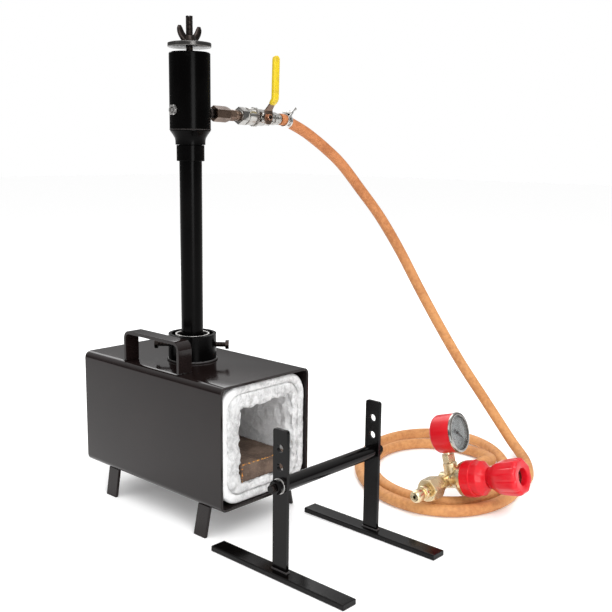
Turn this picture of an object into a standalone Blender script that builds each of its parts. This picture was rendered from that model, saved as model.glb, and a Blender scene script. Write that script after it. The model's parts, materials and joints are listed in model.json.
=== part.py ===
"""A small propane forge with its burner, gas line, regulator and separate work rest.

Metres, +Z up. The chamber opens toward -Y. The origin is on the floor, under the middle of
the rigid parts: the forge, the burner with its gas valve, and the work rest.
"""

import math

import bmesh
import bpy
from mathutils import Euler, Matrix, Vector

# ---------------------------------------------------------------- driving dimensions
GAP = 0.0003            # clearance between touching pieces
FORGE_X = -0.050        # forge centre plane
FORGE_FRONT = -0.040    # front end of the shell
FLOOR_HEIGHT = 0.045    # underside of the shell above the floor

SHELL_WIDTH = 0.178
SHELL_HEIGHT = 0.182
SHELL_LENGTH = 0.325
SHELL_WALL = 0.004
SHELL_CORNER = 0.010

FLAT_BAR = 0.025        # width of the flat bar used for legs, handle and work rest
FLAT_BAR_THICK = 0.005
OUTER_BLANKET = 0.0127
BLANKET_RECESS = 0.004
CAVITY_LEFT = -0.049    # chamber, from the forge centre plane
CAVITY_RIGHT = 0.061
CAVITY_BOTTOM = 0.077
CAVITY_TOP = 0.187
BRICK_SIZE = (0.094, 0.230, 0.027)

BURNER_Y = FORGE_FRONT + 0.164
COLLAR_TOP = 0.2685
TUBE_BOTTOM = 0.212
COUPLING_BOTTOM = 0.531
COUPLING_TOP = 0.5547
MIXING_BOTTOM = 0.5775
MIXING_TOP = 0.6885
DISC_BOTTOM = 0.6955
DISC_THICK = 0.007
ROD_TOP = 0.7401
THREAD_PITCH = 0.0015
GAS_LINE_Z = 0.604
GAS_LINE_DROOP = math.radians(1.7)
VALVE_X = 0.143         # stem axis along the gas line, from the burner axis
BARB_END = 0.189

HOSE_RADIUS = 0.0095

REGULATOR_CENTRE = (0.2085, -0.1870, 0.042)
REGULATOR_TILT = math.radians(16.0)
REGULATOR_TURN = math.radians(3.0)
OUTLET_END = 0.0750     # end of the outlet barb from the regulator's centre
STEM_Z = 0.0075         # gauge stem, along the regulator from its ports
GAUGE_TURN = math.radians(3.5)
NEEDLE_REST = math.radians(-128)

REST_LENGTH = 0.240
REST_BASE_THICK = 0.008
REST_NEAR = -0.285
REST_LEFT = -0.150      # middle of the left base bar
REST_RIGHT = 0.040
REST_TOP = 0.200
REST_HOLES = (0.125, 0.150, 0.175)
REST_BAR_RADIUS = 0.0098

SHELL_TOP = FLOOR_HEIGHT + SHELL_HEIGHT
FORGE_BACK = FORGE_FRONT + SHELL_LENGTH


# ---------------------------------------------------------------- scene and helpers
for old in list(bpy.data.objects):
    bpy.data.objects.remove(old, do_unlink=True)

PARTS = bpy.data.collections.new("gas_forge")
CUTTERS = bpy.data.collections.new("cutters")
bpy.context.scene.collection.children.link(PARTS)
bpy.context.scene.collection.children.link(CUTTERS)


def finish_of(name, colour, roughness, metallic):
    mat = bpy.data.materials.new(name)
    mat.use_nodes = True
    shader = mat.node_tree.nodes["Principled BSDF"]
    shader.inputs["Base Color"].default_value = (*colour, 1.0)
    shader.inputs["Roughness"].default_value = roughness
    shader.inputs["Metallic"].default_value = metallic
    return mat


BLACK = finish_of("black_enamel", (0.022, 0.020, 0.020), 0.28, 0.0)
STEEL = finish_of("bright_steel", (0.55, 0.54, 0.52), 0.32, 1.0)
DARK_STEEL = finish_of("dark_steel", (0.12, 0.11, 0.11), 0.38, 1.0)
CHROME = finish_of("nickel_plate", (0.62, 0.60, 0.57), 0.18, 1.0)
BRASS = finish_of("pale_brass", (0.80, 0.66, 0.40), 0.26, 1.0)
BLANKET = finish_of("ceramic_blanket", (0.82, 0.82, 0.80), 0.95, 0.0)
BRICK = finish_of("fire_brick", (0.36, 0.24, 0.15), 0.90, 0.0)
HOSE = finish_of("orange_hose", (0.62, 0.26, 0.09), 0.50, 0.0)
RED = finish_of("red_enamel", (0.75, 0.015, 0.03), 0.30, 0.0)
YELLOW = finish_of("yellow_vinyl", (0.85, 0.68, 0.04), 0.45, 0.0)
WHITE = finish_of("dial_white", (0.60, 0.62, 0.60), 0.50, 0.0)
GLASS = finish_of("gauge_glass", (0.90, 0.92, 0.92), 0.05, 0.0)


def frame_at(name, location, rotation=(0.0, 0.0, 0.0), parent=None):
    """An empty that other pieces are placed under."""
    empty = bpy.data.objects.new(name, None)
    empty.parent = parent
    empty.location = location
    empty.rotation_euler = rotation
    PARTS.objects.link(empty)
    return empty


def add(name, data, mat, location=(0, 0, 0), rotation=(0, 0, 0), parent=None):
    """A part, or a cutter when there is no material."""
    obj = bpy.data.objects.new(name, data)
    obj.parent = parent
    obj.location = location
    obj.rotation_euler = rotation
    if mat is None:
        CUTTERS.objects.link(obj)
        obj.hide_render = True
        obj.display_type = "WIRE"
    else:
        PARTS.objects.link(obj)
        data.materials.append(mat)
    return obj


def mesh_from(bm, name):
    mesh = bpy.data.meshes.new(name)
    bm.to_mesh(mesh)
    bm.free()
    return mesh


def smooth(obj, degrees=35):
    obj.data.shade_smooth()
    obj.data.set_sharp_from_angle(angle=math.radians(degrees))


def block(name, low, high, mat, corner=0.0, along="y", steps=3, **place):
    """A box between two corners; corner rounds the four edges that run along one axis."""
    bm = bmesh.new()
    bmesh.ops.create_cube(bm, size=1.0)
    size = [h - l for l, h in zip(low, high)]
    middle = [(h + l) / 2 for l, h in zip(low, high)]
    bmesh.ops.scale(bm, vec=size, verts=bm.verts)
    bmesh.ops.translate(bm, vec=middle, verts=bm.verts)
    if corner:
        axis = "xyz".index(along)
        edges = []
        for edge in bm.edges:
            span = edge.verts[0].co - edge.verts[1].co
            if abs(span[axis]) > 1e-6:
                edges.append(edge)
        bmesh.ops.bevel(bm, geom=edges, offset=corner, segments=steps, profile=0.5, affect="EDGES")
    return add(name, mesh_from(bm, name), mat, **place)


def rod(name, radius, start, end, mat, sides=24, **place):
    """A solid cylinder between two points; six sides make a hexagon."""
    start, end = Vector(start), Vector(end)
    bm = bmesh.new()
    turn = (end - start).to_track_quat("Z", "Y").to_matrix().to_4x4()
    matrix = Matrix.Translation((start + end) / 2) @ turn
    bmesh.ops.create_cone(
        bm, cap_ends=True, segments=sides, radius1=radius, radius2=radius,
        depth=(end - start).length, matrix=matrix,
    )
    obj = add(name, mesh_from(bm, name), mat, **place)
    if mat is not None and sides > 8:
        smooth(obj)
    return obj


def hexagon(name, across_flats, start, end, mat, **place):
    return rod(name, across_flats / math.sqrt(3.0), start, end, mat, sides=6, **place)


def ball(name, radius, centre, mat, **place):
    bm = bmesh.new()
    bmesh.ops.create_uvsphere(bm, u_segments=16, v_segments=10, radius=radius)
    bmesh.ops.translate(bm, vec=centre, verts=bm.verts)
    return add(name, mesh_from(bm, name), mat, **place)


def turned(name, profile, mat, ring=True, steps=28, **place):
    """A turned piece; profile is (radius, height), down the outside and, for a ring, up the bore."""
    bm = bmesh.new()
    points = [bm.verts.new((radius, 0.0, height)) for radius, height in profile]
    for first, second in zip(points, points[1:]):
        bm.edges.new((first, second))
    if ring:
        bm.edges.new((points[-1], points[0]))
    obj = add(name, mesh_from(bm, name), mat, **place)
    screw = obj.modifiers.new("Turn", "SCREW")
    screw.axis = "Z"
    screw.steps = steps
    screw.render_steps = steps
    screw.use_merge_vertices = True
    screw.merge_threshold = 0.00001
    screw.use_smooth_shade = True
    return obj


def pipe(name, outer, bore, top, bottom, mat, **place):
    profile = [(outer, top), (outer, bottom), (bore, bottom), (bore, top)]
    return turned(name, profile, mat, **place)


def boolean(obj, other, operation):
    mod = obj.modifiers.new(operation.title(), "BOOLEAN")
    mod.operation = operation
    mod.solver = "EXACT"
    mod.object = other


def cut(obj, *cutters):
    for cutter in cutters:
        boolean(obj, cutter, "DIFFERENCE")


def join(obj, *others):
    for other in others:
        boolean(obj, other, "UNION")


def rounded_outline(left, right, bottom, top, radius, arc_steps=4):
    """Corner points of a rectangle with round corners, anticlockwise."""
    corners = (
        (right - radius, bottom + radius, -90), (right - radius, top - radius, 0),
        (left + radius, top - radius, 90), (left + radius, bottom + radius, 180),
    )
    points = []
    for x, y, start in corners:
        for step in range(arc_steps + 1):
            angle = math.radians(start + 90 * step / arc_steps)
            points.append((x + radius * math.cos(angle), y + radius * math.sin(angle)))
    return points


def as_mesh(curve_obj):
    """The same object as a welded mesh, where it stood."""
    bpy.context.view_layer.update()
    graph = bpy.context.evaluated_depsgraph_get()
    mesh = bpy.data.meshes.new_from_object(curve_obj.evaluated_get(graph))
    bm = bmesh.new()
    bm.from_mesh(mesh)
    bmesh.ops.remove_doubles(bm, verts=bm.verts, dist=0.00001)
    bm.to_mesh(mesh)
    bm.free()
    name, world = curve_obj.name, curve_obj.matrix_world.copy()
    home, parent = curve_obj.users_collection[0], curve_obj.parent
    bpy.data.objects.remove(curve_obj)
    obj = bpy.data.objects.new(name, mesh)
    home.objects.link(obj)
    if home == CUTTERS:
        obj.hide_render = True
        obj.display_type = "WIRE"
    obj.parent = parent
    obj.matrix_world = world
    return obj


def plate(name, outlines, thickness, mat, **place):
    """A flat outline, with any inner outlines as holes, given a thickness about its own plane."""
    curve = bpy.data.curves.new(name, "CURVE")
    curve.dimensions = "2D"
    curve.fill_mode = "BOTH"
    curve.extrude = thickness / 2
    for outline in outlines:
        spline = curve.splines.new("POLY")
        spline.points.add(len(outline) - 1)
        spline.use_cyclic_u = True
        for point, (x, y) in zip(spline.points, outline):
            point.co = (x, y, 0.0, 1.0)
    return as_mesh(add(name, curve, mat, **place))


def strap(name, path, widths, thickness, mat, **place):
    """A bent strap: path is (y, z) of its middle, widths its size along X at each point."""
    bm = bmesh.new()
    rows = []
    for (y, z), width in zip(path, widths):
        rows.append([bm.verts.new((side * width / 2, y, z)) for side in (-1, 1)])
    for low, high in zip(rows, rows[1:]):
        bm.faces.new((low[0], low[1], high[1], high[0]))
    obj = add(name, mesh_from(bm, name), mat, **place)
    solid = obj.modifiers.new("Thickness", "SOLIDIFY")
    solid.thickness = thickness
    solid.offset = 0.0
    solid.use_even_offset = True
    return obj


def smooth_route(points, spacing):
    """Points at an even spacing on a Catmull-Rom curve through the route's own points."""
    knots = [Vector(p) for p in points]
    knots = [2 * knots[0] - knots[1]] + knots + [2 * knots[-1] - knots[-2]]
    dense = []
    for a, b, c, d in zip(knots, knots[1:], knots[2:], knots[3:]):
        for step in range(16):
            t = step / 16
            dense.append(0.5 * (2 * b + (c - a) * t + (2 * a - 5 * b + 4 * c - d) * t * t
                                + (3 * b - a - 3 * c + d) * t ** 3))
    dense.append(knots[-2])
    length = sum((q - p).length for p, q in zip(dense, dense[1:]))
    count = max(2, round(length / spacing))
    result = [dense[0]]
    walked = 0.0
    for p, q in zip(dense, dense[1:]):
        step = (q - p).length
        while len(result) < count and walked + step >= length * len(result) / count:
            part = (length * len(result) / count - walked) / step
            result.append(p.lerp(q, part))
        walked += step
    result.append(dense[-1])
    return result


def tube(name, points, radius, mat, sides=2):
    curve = bpy.data.curves.new(name, "CURVE")
    curve.dimensions = "3D"
    curve.bevel_depth = radius
    curve.bevel_resolution = sides
    curve.use_fill_caps = True
    spline = curve.splines.new("POLY")
    spline.points.add(len(points) - 1)
    for point, place in zip(spline.points, points):
        point.co = (*place, 1.0)
    return add(name, curve, mat)


# ---------------------------------------------------------------- forge body
def make_shell():
    half = SHELL_WIDTH / 2
    bm = bmesh.new()
    bmesh.ops.create_cube(bm, size=1.0)
    bmesh.ops.scale(bm, vec=(SHELL_WIDTH, SHELL_LENGTH, SHELL_HEIGHT), verts=bm.verts)
    ends = [face for face in bm.faces if abs(face.normal.y) > 0.9]
    bmesh.ops.delete(bm, geom=ends, context="FACES_ONLY")
    long_edges = [e for e in bm.edges if abs(e.verts[0].co.y - e.verts[1].co.y) > 0.1]
    bmesh.ops.bevel(bm, geom=long_edges, offset=SHELL_CORNER, segments=4, profile=0.5, affect="EDGES")
    shell = add("shell", mesh_from(bm, "shell"), BLACK,
                location=(FORGE_X, FORGE_FRONT + SHELL_LENGTH / 2, FLOOR_HEIGHT + SHELL_HEIGHT / 2))
    wall = shell.modifiers.new("Wall", "SOLIDIFY")
    wall.thickness = SHELL_WALL
    wall.offset = -1.0
    wall.use_even_offset = True
    cut(shell, rod("shell_port", 0.0285, (FORGE_X, BURNER_Y, SHELL_TOP - 0.02),
                   (FORGE_X, BURNER_Y, SHELL_TOP + 0.02), None))
    inner = half - SHELL_WALL - GAP
    block("rear_plate",
          (FORGE_X - inner, FORGE_BACK - 0.005, FLOOR_HEIGHT + SHELL_WALL + GAP),
          (FORGE_X + inner, FORGE_BACK - 0.001, SHELL_TOP - SHELL_WALL - GAP),
          BLACK, corner=SHELL_CORNER - SHELL_WALL, along="y")


def blanket_sleeve(name, outer, inner, front, back, outer_radius, inner_radius):
    """A ring of blanket seen from the front, given its length along Y."""
    outlines = [rounded_outline(*outer, outer_radius), rounded_outline(*inner, inner_radius)]
    sleeve = plate(name, outlines, back - front, BLANKET,
                   location=(FORGE_X, (front + back) / 2, 0.0), rotation=(math.pi / 2, 0, 0))
    port = rod(name + "_port", 0.0275, (FORGE_X, BURNER_Y, SHELL_TOP - 0.07),
               (FORGE_X, BURNER_Y, SHELL_TOP + 0.02), None)
    cut(sleeve, port)
    return sleeve


def make_lining():
    front = FORGE_FRONT + BLANKET_RECESS
    back = FORGE_BACK - 0.005 - GAP
    rear_front = back - 0.025
    clearance = 0.0004
    reach = SHELL_WIDTH / 2 - SHELL_WALL - clearance
    low = FLOOR_HEIGHT + SHELL_WALL + clearance
    high = SHELL_TOP - SHELL_WALL - clearance
    outer = (-reach, reach, low, high)
    middle = (-reach + OUTER_BLANKET, reach - OUTER_BLANKET, low + OUTER_BLANKET, high - OUTER_BLANKET)
    loose = (middle[0] + clearance, middle[1] - clearance, middle[2] + clearance, middle[3] - clearance)
    cavity = (CAVITY_LEFT, CAVITY_RIGHT, CAVITY_BOTTOM, CAVITY_TOP)
    blanket_sleeve("blanket_outer", outer, middle, front, back, 0.035, 0.025)
    blanket_sleeve("blanket_inner", loose, cavity, front, rear_front, 0.0246, 0.004)
    plate("rear_blanket", [rounded_outline(*loose, 0.0246)], back - rear_front - 2 * clearance, BLANKET,
          location=(FORGE_X, (rear_front + back) / 2, 0.0), rotation=(math.pi / 2, 0, 0))
    left = FORGE_X - 0.044
    near = front + 0.001
    bottom = CAVITY_BOTTOM + clearance
    width, length, thick = BRICK_SIZE
    block("floor_brick", (left, near, bottom), (left + width, near + length, bottom + thick),
          BRICK, corner=0.0015, along="y", steps=1)


def make_legs():
    """Flat bar legs, cut level at both ends and splayed outward."""
    for end, middle, splay in (("front", 0.0445, 0.0095), ("rear", 0.2625, 0.0070)):
        for side, sign in (("left", -1), ("right", 1)):
            top, foot = 0.0775, 0.0775 + splay
            outline = [(top, FLOOR_HEIGHT - GAP), (foot, 0.0),
                       (foot + FLAT_BAR_THICK, 0.0), (top + FLAT_BAR_THICK, FLOOR_HEIGHT - GAP)]
            outline = [(sign * x, z) for x, z in outline]
            plate(f"leg_{end}_{side}", [outline], FLAT_BAR, BLACK,
                  location=(FORGE_X, FORGE_FRONT + middle, 0.0), rotation=(math.pi / 2, 0, 0))


def make_handle():
    """One strap bent into a low bridge over the left edge of the top."""
    rear, near = FORGE_FRONT + 0.2255, FORGE_FRONT + 0.0995
    foot, top = SHELL_TOP + GAP, SHELL_TOP + 0.0455
    bend = 0.010
    path = [(near, foot)]
    for step in range(5):
        angle = math.radians(180 - 22.5 * step)
        path.append((near + bend + bend * math.cos(angle), top - bend + bend * math.sin(angle)))
    for step in range(5):
        angle = math.radians(90 - 22.5 * step)
        path.append((rear - bend + bend * math.cos(angle), top - bend + bend * math.sin(angle)))
    path.append((rear, foot))
    strap("carry_handle", path, [FLAT_BAR] * len(path), FLAT_BAR_THICK, BLACK,
          location=(FORGE_X - 0.0705, 0, 0))


# ---------------------------------------------------------------- burner
BURNER = frame_at("burner_axis", (FORGE_X, BURNER_Y, 0.0))
SCREW_HEIGHT = 0.2505
SCREW_TURN = math.radians(-47.5)


def make_collar():
    collar = pipe("burner_collar", 0.037, 0.032, COLLAR_TOP, SHELL_TOP + GAP, BLACK, steps=36, parent=BURNER)
    reach = Vector((math.cos(SCREW_TURN), math.sin(SCREW_TURN), 0.0))
    height = Vector((0.0, 0.0, SCREW_HEIGHT))
    cut(collar, rod("screw_holes", 0.0043, height - reach * 0.05, height + reach * 0.05, None,
                    sides=16, parent=BURNER))
    for name, sign, head in (("set_screw_left", -1, 0.0585), ("set_screw_right", 1, 0.0565)):
        inward = -sign * reach
        base = sign * reach * head
        holder = frame_at(name + "_axis", base + height, parent=BURNER)
        screw = rod(name, 0.004, inward * -0.001, inward * (head - 0.0267), DARK_STEEL, sides=16, parent=holder)
        join(screw, hexagon(name + "_head", 0.013, (0, 0, 0), inward * -0.0053, None, parent=holder))


def make_burner_tubes():
    nozzle = [(0.02635, COLLAR_TOP - 0.0005), (0.02635, 0.187), (0.0245, 0.187), (0.0180, TUBE_BOTTOM - 0.001),
              (0.0180, TUBE_BOTTOM), (0.0172, TUBE_BOTTOM), (0.0172, 0.236), (0.0238, 0.236),
              (0.0238, COLLAR_TOP - 0.0005)]
    turned("burner_nozzle", nozzle, STEEL, parent=BURNER)
    middle = COUPLING_TOP - 0.0115
    pipe("burner_tube", 0.01685, 0.01365, middle - GAP, TUBE_BOTTOM + 0.0005, BLACK, parent=BURNER)
    pipe("tube_coupling", 0.0207, 0.0172, COUPLING_TOP, COUPLING_BOTTOM, BLACK, parent=BURNER)
    top = MIXING_BOTTOM - GAP
    reducer = [(0.0300, top), (0.0300, top - 0.002), (0.0225, 0.5640), (0.0222, COUPLING_TOP + GAP),
               (0.0169, COUPLING_TOP + GAP), (0.0169, middle), (0.0138, middle), (0.0138, 0.5600), (0.0270, top)]
    turned("bell_reducer", reducer, BLACK, parent=BURNER)
    mixing = [(0.0290, MIXING_TOP), (0.0305, MIXING_TOP - 0.0015), (0.0305, MIXING_BOTTOM),
              (0.0270, MIXING_BOTTOM), (0.0270, MIXING_TOP)]
    mixing_tube = turned("mixing_tube", mixing, BLACK, steps=36, parent=BURNER)
    cut(mixing_tube, rod("pipe_holes", 0.0072, (-0.05, 0, 0), (0.05, 0, 0), None, parent=GAS_LINE))


def make_choke():
    bridge_top = MIXING_TOP - 0.008
    bridge = block("choke_bridge", (-0.006, -0.0262, bridge_top - 0.005), (0.006, 0.0262, bridge_top),
                   DARK_STEEL, parent=BURNER)
    cut(bridge, rod("bridge_hole", 0.0053, (0, 0, bridge_top - 0.01), (0, 0, bridge_top + 0.01), None,
                    parent=BURNER))
    threaded = rod("choke_rod", 0.005, (0, 0, bridge_top - 0.016), (0, 0, ROD_TOP), DARK_STEEL, sides=20,
                   parent=BURNER)
    cut(threaded, block("rod_slot", (-0.008, -0.0007, ROD_TOP - 0.0012), (0.008, 0.0007, ROD_TOP + 0.01),
                        None, parent=BURNER, rotation=(0, 0, math.radians(42))))
    edge = 0.0008
    top = DISC_BOTTOM + DISC_THICK
    disc = [(0.032 - edge, top), (0.032, top - edge), (0.032, DISC_BOTTOM + edge),
            (0.032 - edge, DISC_BOTTOM), (0.0054, DISC_BOTTOM), (0.0054, top)]
    turned("choke_disc", disc, DARK_STEEL, steps=36, parent=BURNER)
    base = top + GAP
    hub = [(0.0085, base + 0.0100), (0.0105, base), (0.0054, base), (0.0054, base + 0.0100)]
    nut = turned("wing_nut", hub, DARK_STEEL, steps=20, location=(0, 0, 0), parent=BURNER)
    wing = [(0.0070, base + 0.0005), (0.0105, base + 0.0005), (0.0190, base + 0.0150), (0.0203, base + 0.0200),
            (0.0194, base + 0.0240), (0.0162, base + 0.0255), (0.0135, base + 0.0235), (0.0070, base + 0.0095)]
    turn = math.radians(-10.5)
    for number, spin in enumerate((turn, turn + math.pi)):
        blade = plate(f"wing_{number}", [wing], 0.0036, None, rotation=(math.pi / 2, 0, spin), parent=BURNER)
        join(nut, blade)


# ---------------------------------------------------------------- gas line and valve
GAS_LINE = frame_at("gas_line", (0, 0, GAS_LINE_Z), (0, GAS_LINE_DROOP, 0), parent=BURNER)
VALVE = frame_at("valve_centre", (VALVE_X, 0, 0), parent=GAS_LINE)
ALONG = (0, math.pi / 2, 0)


def make_gas_pipe():
    pipe_end, stop = 0.050, -0.022
    profile = [(0.0069, pipe_end), (0.0069, -0.0309), (0.0040, -0.0309), (0.0040, pipe_end)]
    gas_pipe = turned("gas_pipe", profile, BLACK, rotation=ALONG, parent=GAS_LINE)
    cut(gas_pipe, rod("jet_port", 0.0023, (0, 0, -0.010), (0, 0, 0), None, sides=12, parent=GAS_LINE))
    jet = [(0.0019, -0.0045), (0.0019, -0.0073), (0.0040, -0.0073), (0.0040, -0.0260), (0.0024, -0.0340),
           (0.0006, -0.0340), (0.0006, -0.0045)]
    turned("gas_jet", jet, BRASS, steps=16, parent=GAS_LINE)
    plug = hexagon("pipe_plug", 0.0140, (-0.0312, 0, 0), (-0.0346, 0, 0), STEEL, parent=GAS_LINE)
    join(plug, rod("plug_thread", 0.0037, (-0.0320, 0, 0), (stop, 0, 0), None, sides=16, parent=GAS_LINE))


def make_fittings():
    nut = hexagon("flare_nut", 0.0212, (0.0455, 0, 0), (0.0740, 0, 0), DARK_STEEL, parent=GAS_LINE)
    shape = [(0.0100, 0.0760), (0.0128, 0.0690), (0.0128, 0.0470), (0.0112, 0.0440)]
    envelope = turned("nut_envelope", [(0.0, 0.0760)] + shape + [(0.0, 0.0440)], None, ring=False,
                      rotation=ALONG, parent=GAS_LINE)
    boolean(nut, envelope, "INTERSECT")
    cut(nut, rod("nut_bore", 0.0072, (0.04, 0, 0), (0.08, 0, 0), None, parent=GAS_LINE),
        rod("nut_thread", 0.0088, (0.0580, 0, 0), (0.08, 0, 0), None, parent=GAS_LINE))
    adapter = [(0.0084, 0.0965), (0.0084, 0.0585), (0.0040, 0.0585), (0.0040, 0.0965)]
    turned("gas_adapter", adapter, DARK_STEEL, steps=20, rotation=ALONG, parent=GAS_LINE)
    tail = [(0.0080, BARB_END), (0.0093, 0.1850), (0.0093, 0.1780), (0.0105, 0.1770), (0.0105, 0.1725),
            (0.0085, 0.1715), (0.0085, 0.1665), (0.0040, 0.1665), (0.0040, BARB_END)]
    turned("hose_barb", tail, CHROME, steps=24, rotation=ALONG, parent=GAS_LINE)


def make_valve():
    body = rod("valve_body", 0.0108, (-0.0460, 0, 0), (0.0232, 0, 0), CHROME, sides=20, parent=VALVE)
    join(body,
         hexagon("body_hex_inlet", 0.0238, (-0.0452, 0, 0), (-0.0300, 0, 0), None, parent=VALVE),
         rod("ball_housing", 0.0132, (-0.0310, 0, 0), (0.0060, 0, 0), None, parent=VALVE),
         hexagon("body_hex_middle", 0.0262, (-0.0160, 0, 0), (-0.0060, 0, 0), None, parent=VALVE),
         hexagon("body_hex_outlet", 0.0205, (0.0110, 0, 0), (0.0225, 0, 0), None, parent=VALVE),
         rod("stem_boss", 0.0068, (0, 0, 0), (0, -0.0160, 0), None, sides=20, parent=VALVE))
    cut(body,
        rod("body_bore", 0.0040, (-0.05, 0, 0), (0.05, 0, 0), None, sides=16, parent=VALVE),
        ball("ball_seat", 0.0084, (0, 0, 0), None, parent=VALVE),
        rod("stem_bore", 0.0033, (0, 0, 0), (0, -0.03, 0), None, sides=16, parent=VALVE))
    valve_ball = ball("valve_ball", 0.0080, (0, 0, 0), STEEL, parent=VALVE)
    cut(valve_ball, rod("ball_bore", 0.0035, (0, 0, -0.02), (0, 0, 0.02), None, sides=16, parent=VALVE))
    rod("valve_stem", 0.0030, (0, -0.0084, 0), (0, -0.0275, 0), DARK_STEEL, sides=16, parent=VALVE)
    packing = hexagon("packing_nut", 0.0120, (0, -0.0163, 0), (0, -0.0195, 0), CHROME, parent=VALVE)
    cut(packing, rod("packing_bore", 0.0033, (0, -0.01, 0), (0, -0.03, 0), None, sides=16, parent=VALVE))


def make_lever():
    """A steel strap that starts flat on the stem and jogs out to clear the gas line."""
    hub_y, blade_y = -0.0211, -0.0350
    path = [(hub_y, -0.0112), (hub_y, -0.0100), (hub_y, -0.0070), (hub_y, -0.0020), (hub_y, 0.0105),
            (hub_y - 0.0012, 0.0125), (blade_y + 0.0012, 0.0262), (blade_y, 0.0285), (blade_y, 0.0915)]
    widths = [0.0060, 0.0105, 0.0150, 0.0176, 0.0170, 0.0140, 0.0094, 0.0090, 0.0090]
    lever = strap("valve_lever", path, widths, 0.0025, DARK_STEEL, parent=VALVE)
    cut(lever, rod("lever_hole", 0.0033, (0, -0.01, 0), (0, -0.04, 0), None, sides=16, parent=VALVE))
    nut = hexagon("lever_nut", 0.0092, (0, -0.0227, 0), (0, -0.0262, 0), STEEL, parent=VALVE)
    cut(nut, rod("lever_nut_bore", 0.0033, (0, -0.01, 0), (0, -0.04, 0), None, sides=16, parent=VALVE))
    sleeve_path = [(blade_y + 0.0060, 0.0207), (blade_y + 0.0012, 0.0262), (blade_y, 0.0285),
                   (blade_y, 0.0895), (blade_y, 0.0925), (blade_y, 0.0942)]
    grip = strap("lever_grip", sleeve_path, [0.0126, 0.0126, 0.0126, 0.0126, 0.0106, 0.0062], 0.0080, YELLOW,
                 parent=VALVE)
    slot_path = [(blade_y + 0.0089, 0.0174), (blade_y + 0.0012, 0.0262), (blade_y, 0.0285), (blade_y, 0.0918)]
    slot = strap("grip_slot", slot_path, [0.0124, 0.0108, 0.0098, 0.0098], 0.0031, None, parent=VALVE)
    cut(grip, slot)


# ---------------------------------------------------------------- hose
# The route is in world metres. The first list leaves the barb and falls to the floor, the loop
# below lays two loose turns, and the last list rises to the regulator's outlet.
HOSE_DROP = [
    (0.1570, 0.1240, 0.5958), (0.1720, 0.1238, 0.5905), (0.1900, 0.1230, 0.5836),
    (0.2110, 0.1203, 0.5730), (0.2450, 0.1160, 0.5525), (0.2820, 0.1098, 0.5250), (0.3200, 0.0980, 0.4820),
    (0.3590, 0.0820, 0.4320), (0.3940, 0.0610, 0.3695), (0.4230, 0.0330, 0.2960), (0.4490, 0.0010, 0.2240),
    (0.4702, -0.0320, 0.1605), (0.4872, -0.0690, 0.1030), (0.4964, -0.1030, 0.0570), (0.4940, -0.1330, 0.0262),
    (0.4798, -0.1590, 0.0134), (0.4555, -0.1835, 0.0101), (0.4225, -0.2075, 0.0096), (0.3815, -0.2297, 0.0096),
]
OUTER_LOOP = {"centre": (0.3182, -0.0935), "half": (0.1921, 0.1362), "turn": 37.7}
INNER_LOOP = {"centre": (0.3040, -0.0990), "half": (0.1440, 0.1100), "turn": 44.0}
LOOP_START, LOOP_END, LOOP_STEPS = -112.0, -755.0, 40
HOSE_RISE = [
    (0.4300, -0.1060, 0.0105), (0.4080, -0.1370, 0.0160), (0.3790, -0.1600, 0.0250),
    (0.3450, -0.1740, 0.0345), (0.3150, -0.1800, 0.0405),
]
HOSE_SPLIT = 0.1740     # the hose end that rides with the burner stops here, along X


def loop_point(angle, share):
    """A point of the oval loop at an angle, going from the outer turn (0) to the inner (1)."""
    blended = {}
    for key in ("centre", "half"):
        pairs = zip(OUTER_LOOP[key], INNER_LOOP[key])
        blended[key] = [a + (b - a) * share for a, b in pairs]
    turn = math.radians(OUTER_LOOP["turn"] + (INNER_LOOP["turn"] - OUTER_LOOP["turn"]) * share)
    along = blended["half"][0] * math.cos(math.radians(angle))
    across = blended["half"][1] * math.sin(math.radians(angle))
    x = blended["centre"][0] + along * math.cos(turn) - across * math.sin(turn)
    y = blended["centre"][1] + along * math.sin(turn) + across * math.cos(turn)
    return (x, y, HOSE_RADIUS + 0.0001)


def hose_route():
    route = list(HOSE_DROP)
    for step in range(LOOP_STEPS):
        angle = LOOP_START + (LOOP_END - LOOP_START) * step / (LOOP_STEPS - 1)
        share = min(1.0, max(0.0, (-385.0 - angle) / 105.0))
        route.append(loop_point(angle, share * share * (3 - 2 * share)))
    return route + HOSE_RISE


def make_hose():
    outlet = Vector((math.cos(REGULATOR_TURN), math.sin(REGULATOR_TURN), 0.0))
    barb_end = Vector(REGULATOR_CENTRE) + outlet * OUTLET_END
    arrival = [barb_end + outlet * 0.008, barb_end + outlet * GAP]
    along = Vector((math.cos(GAS_LINE_DROOP), 0.0, -math.sin(GAS_LINE_DROOP)))
    burner = Vector((FORGE_X, BURNER_Y, GAS_LINE_Z))
    leaving = [burner + along * (BARB_END + GAP), burner + along * (BARB_END + 0.008)]
    route = smooth_route(leaving[1:] + hose_route() + arrival[:1], 0.0400) + arrival[1:]
    fine = smooth_route(leaving[1:] + HOSE_DROP[:5], 0.0060)
    end = leaving[:1] + [p for p in fine if p.x < HOSE_SPLIT - 0.007]
    cross = next(p.lerp(q, (HOSE_SPLIT - p.x) / (q.x - p.x)) for p, q in zip(fine, fine[1:]) if q.x > HOSE_SPLIT)
    ahead = (fine[-1] - cross).normalized()
    after = [p for p in route if p.x > HOSE_SPLIT + 0.010 or p.z < 0.4]
    tube("hose_end", end + [cross - ahead * 0.004, cross - ahead * GAP], HOSE_RADIUS, HOSE, sides=3)
    tube("gas_hose", [cross, cross + ahead * 0.004] + after, HOSE_RADIUS, HOSE, sides=3)


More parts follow.
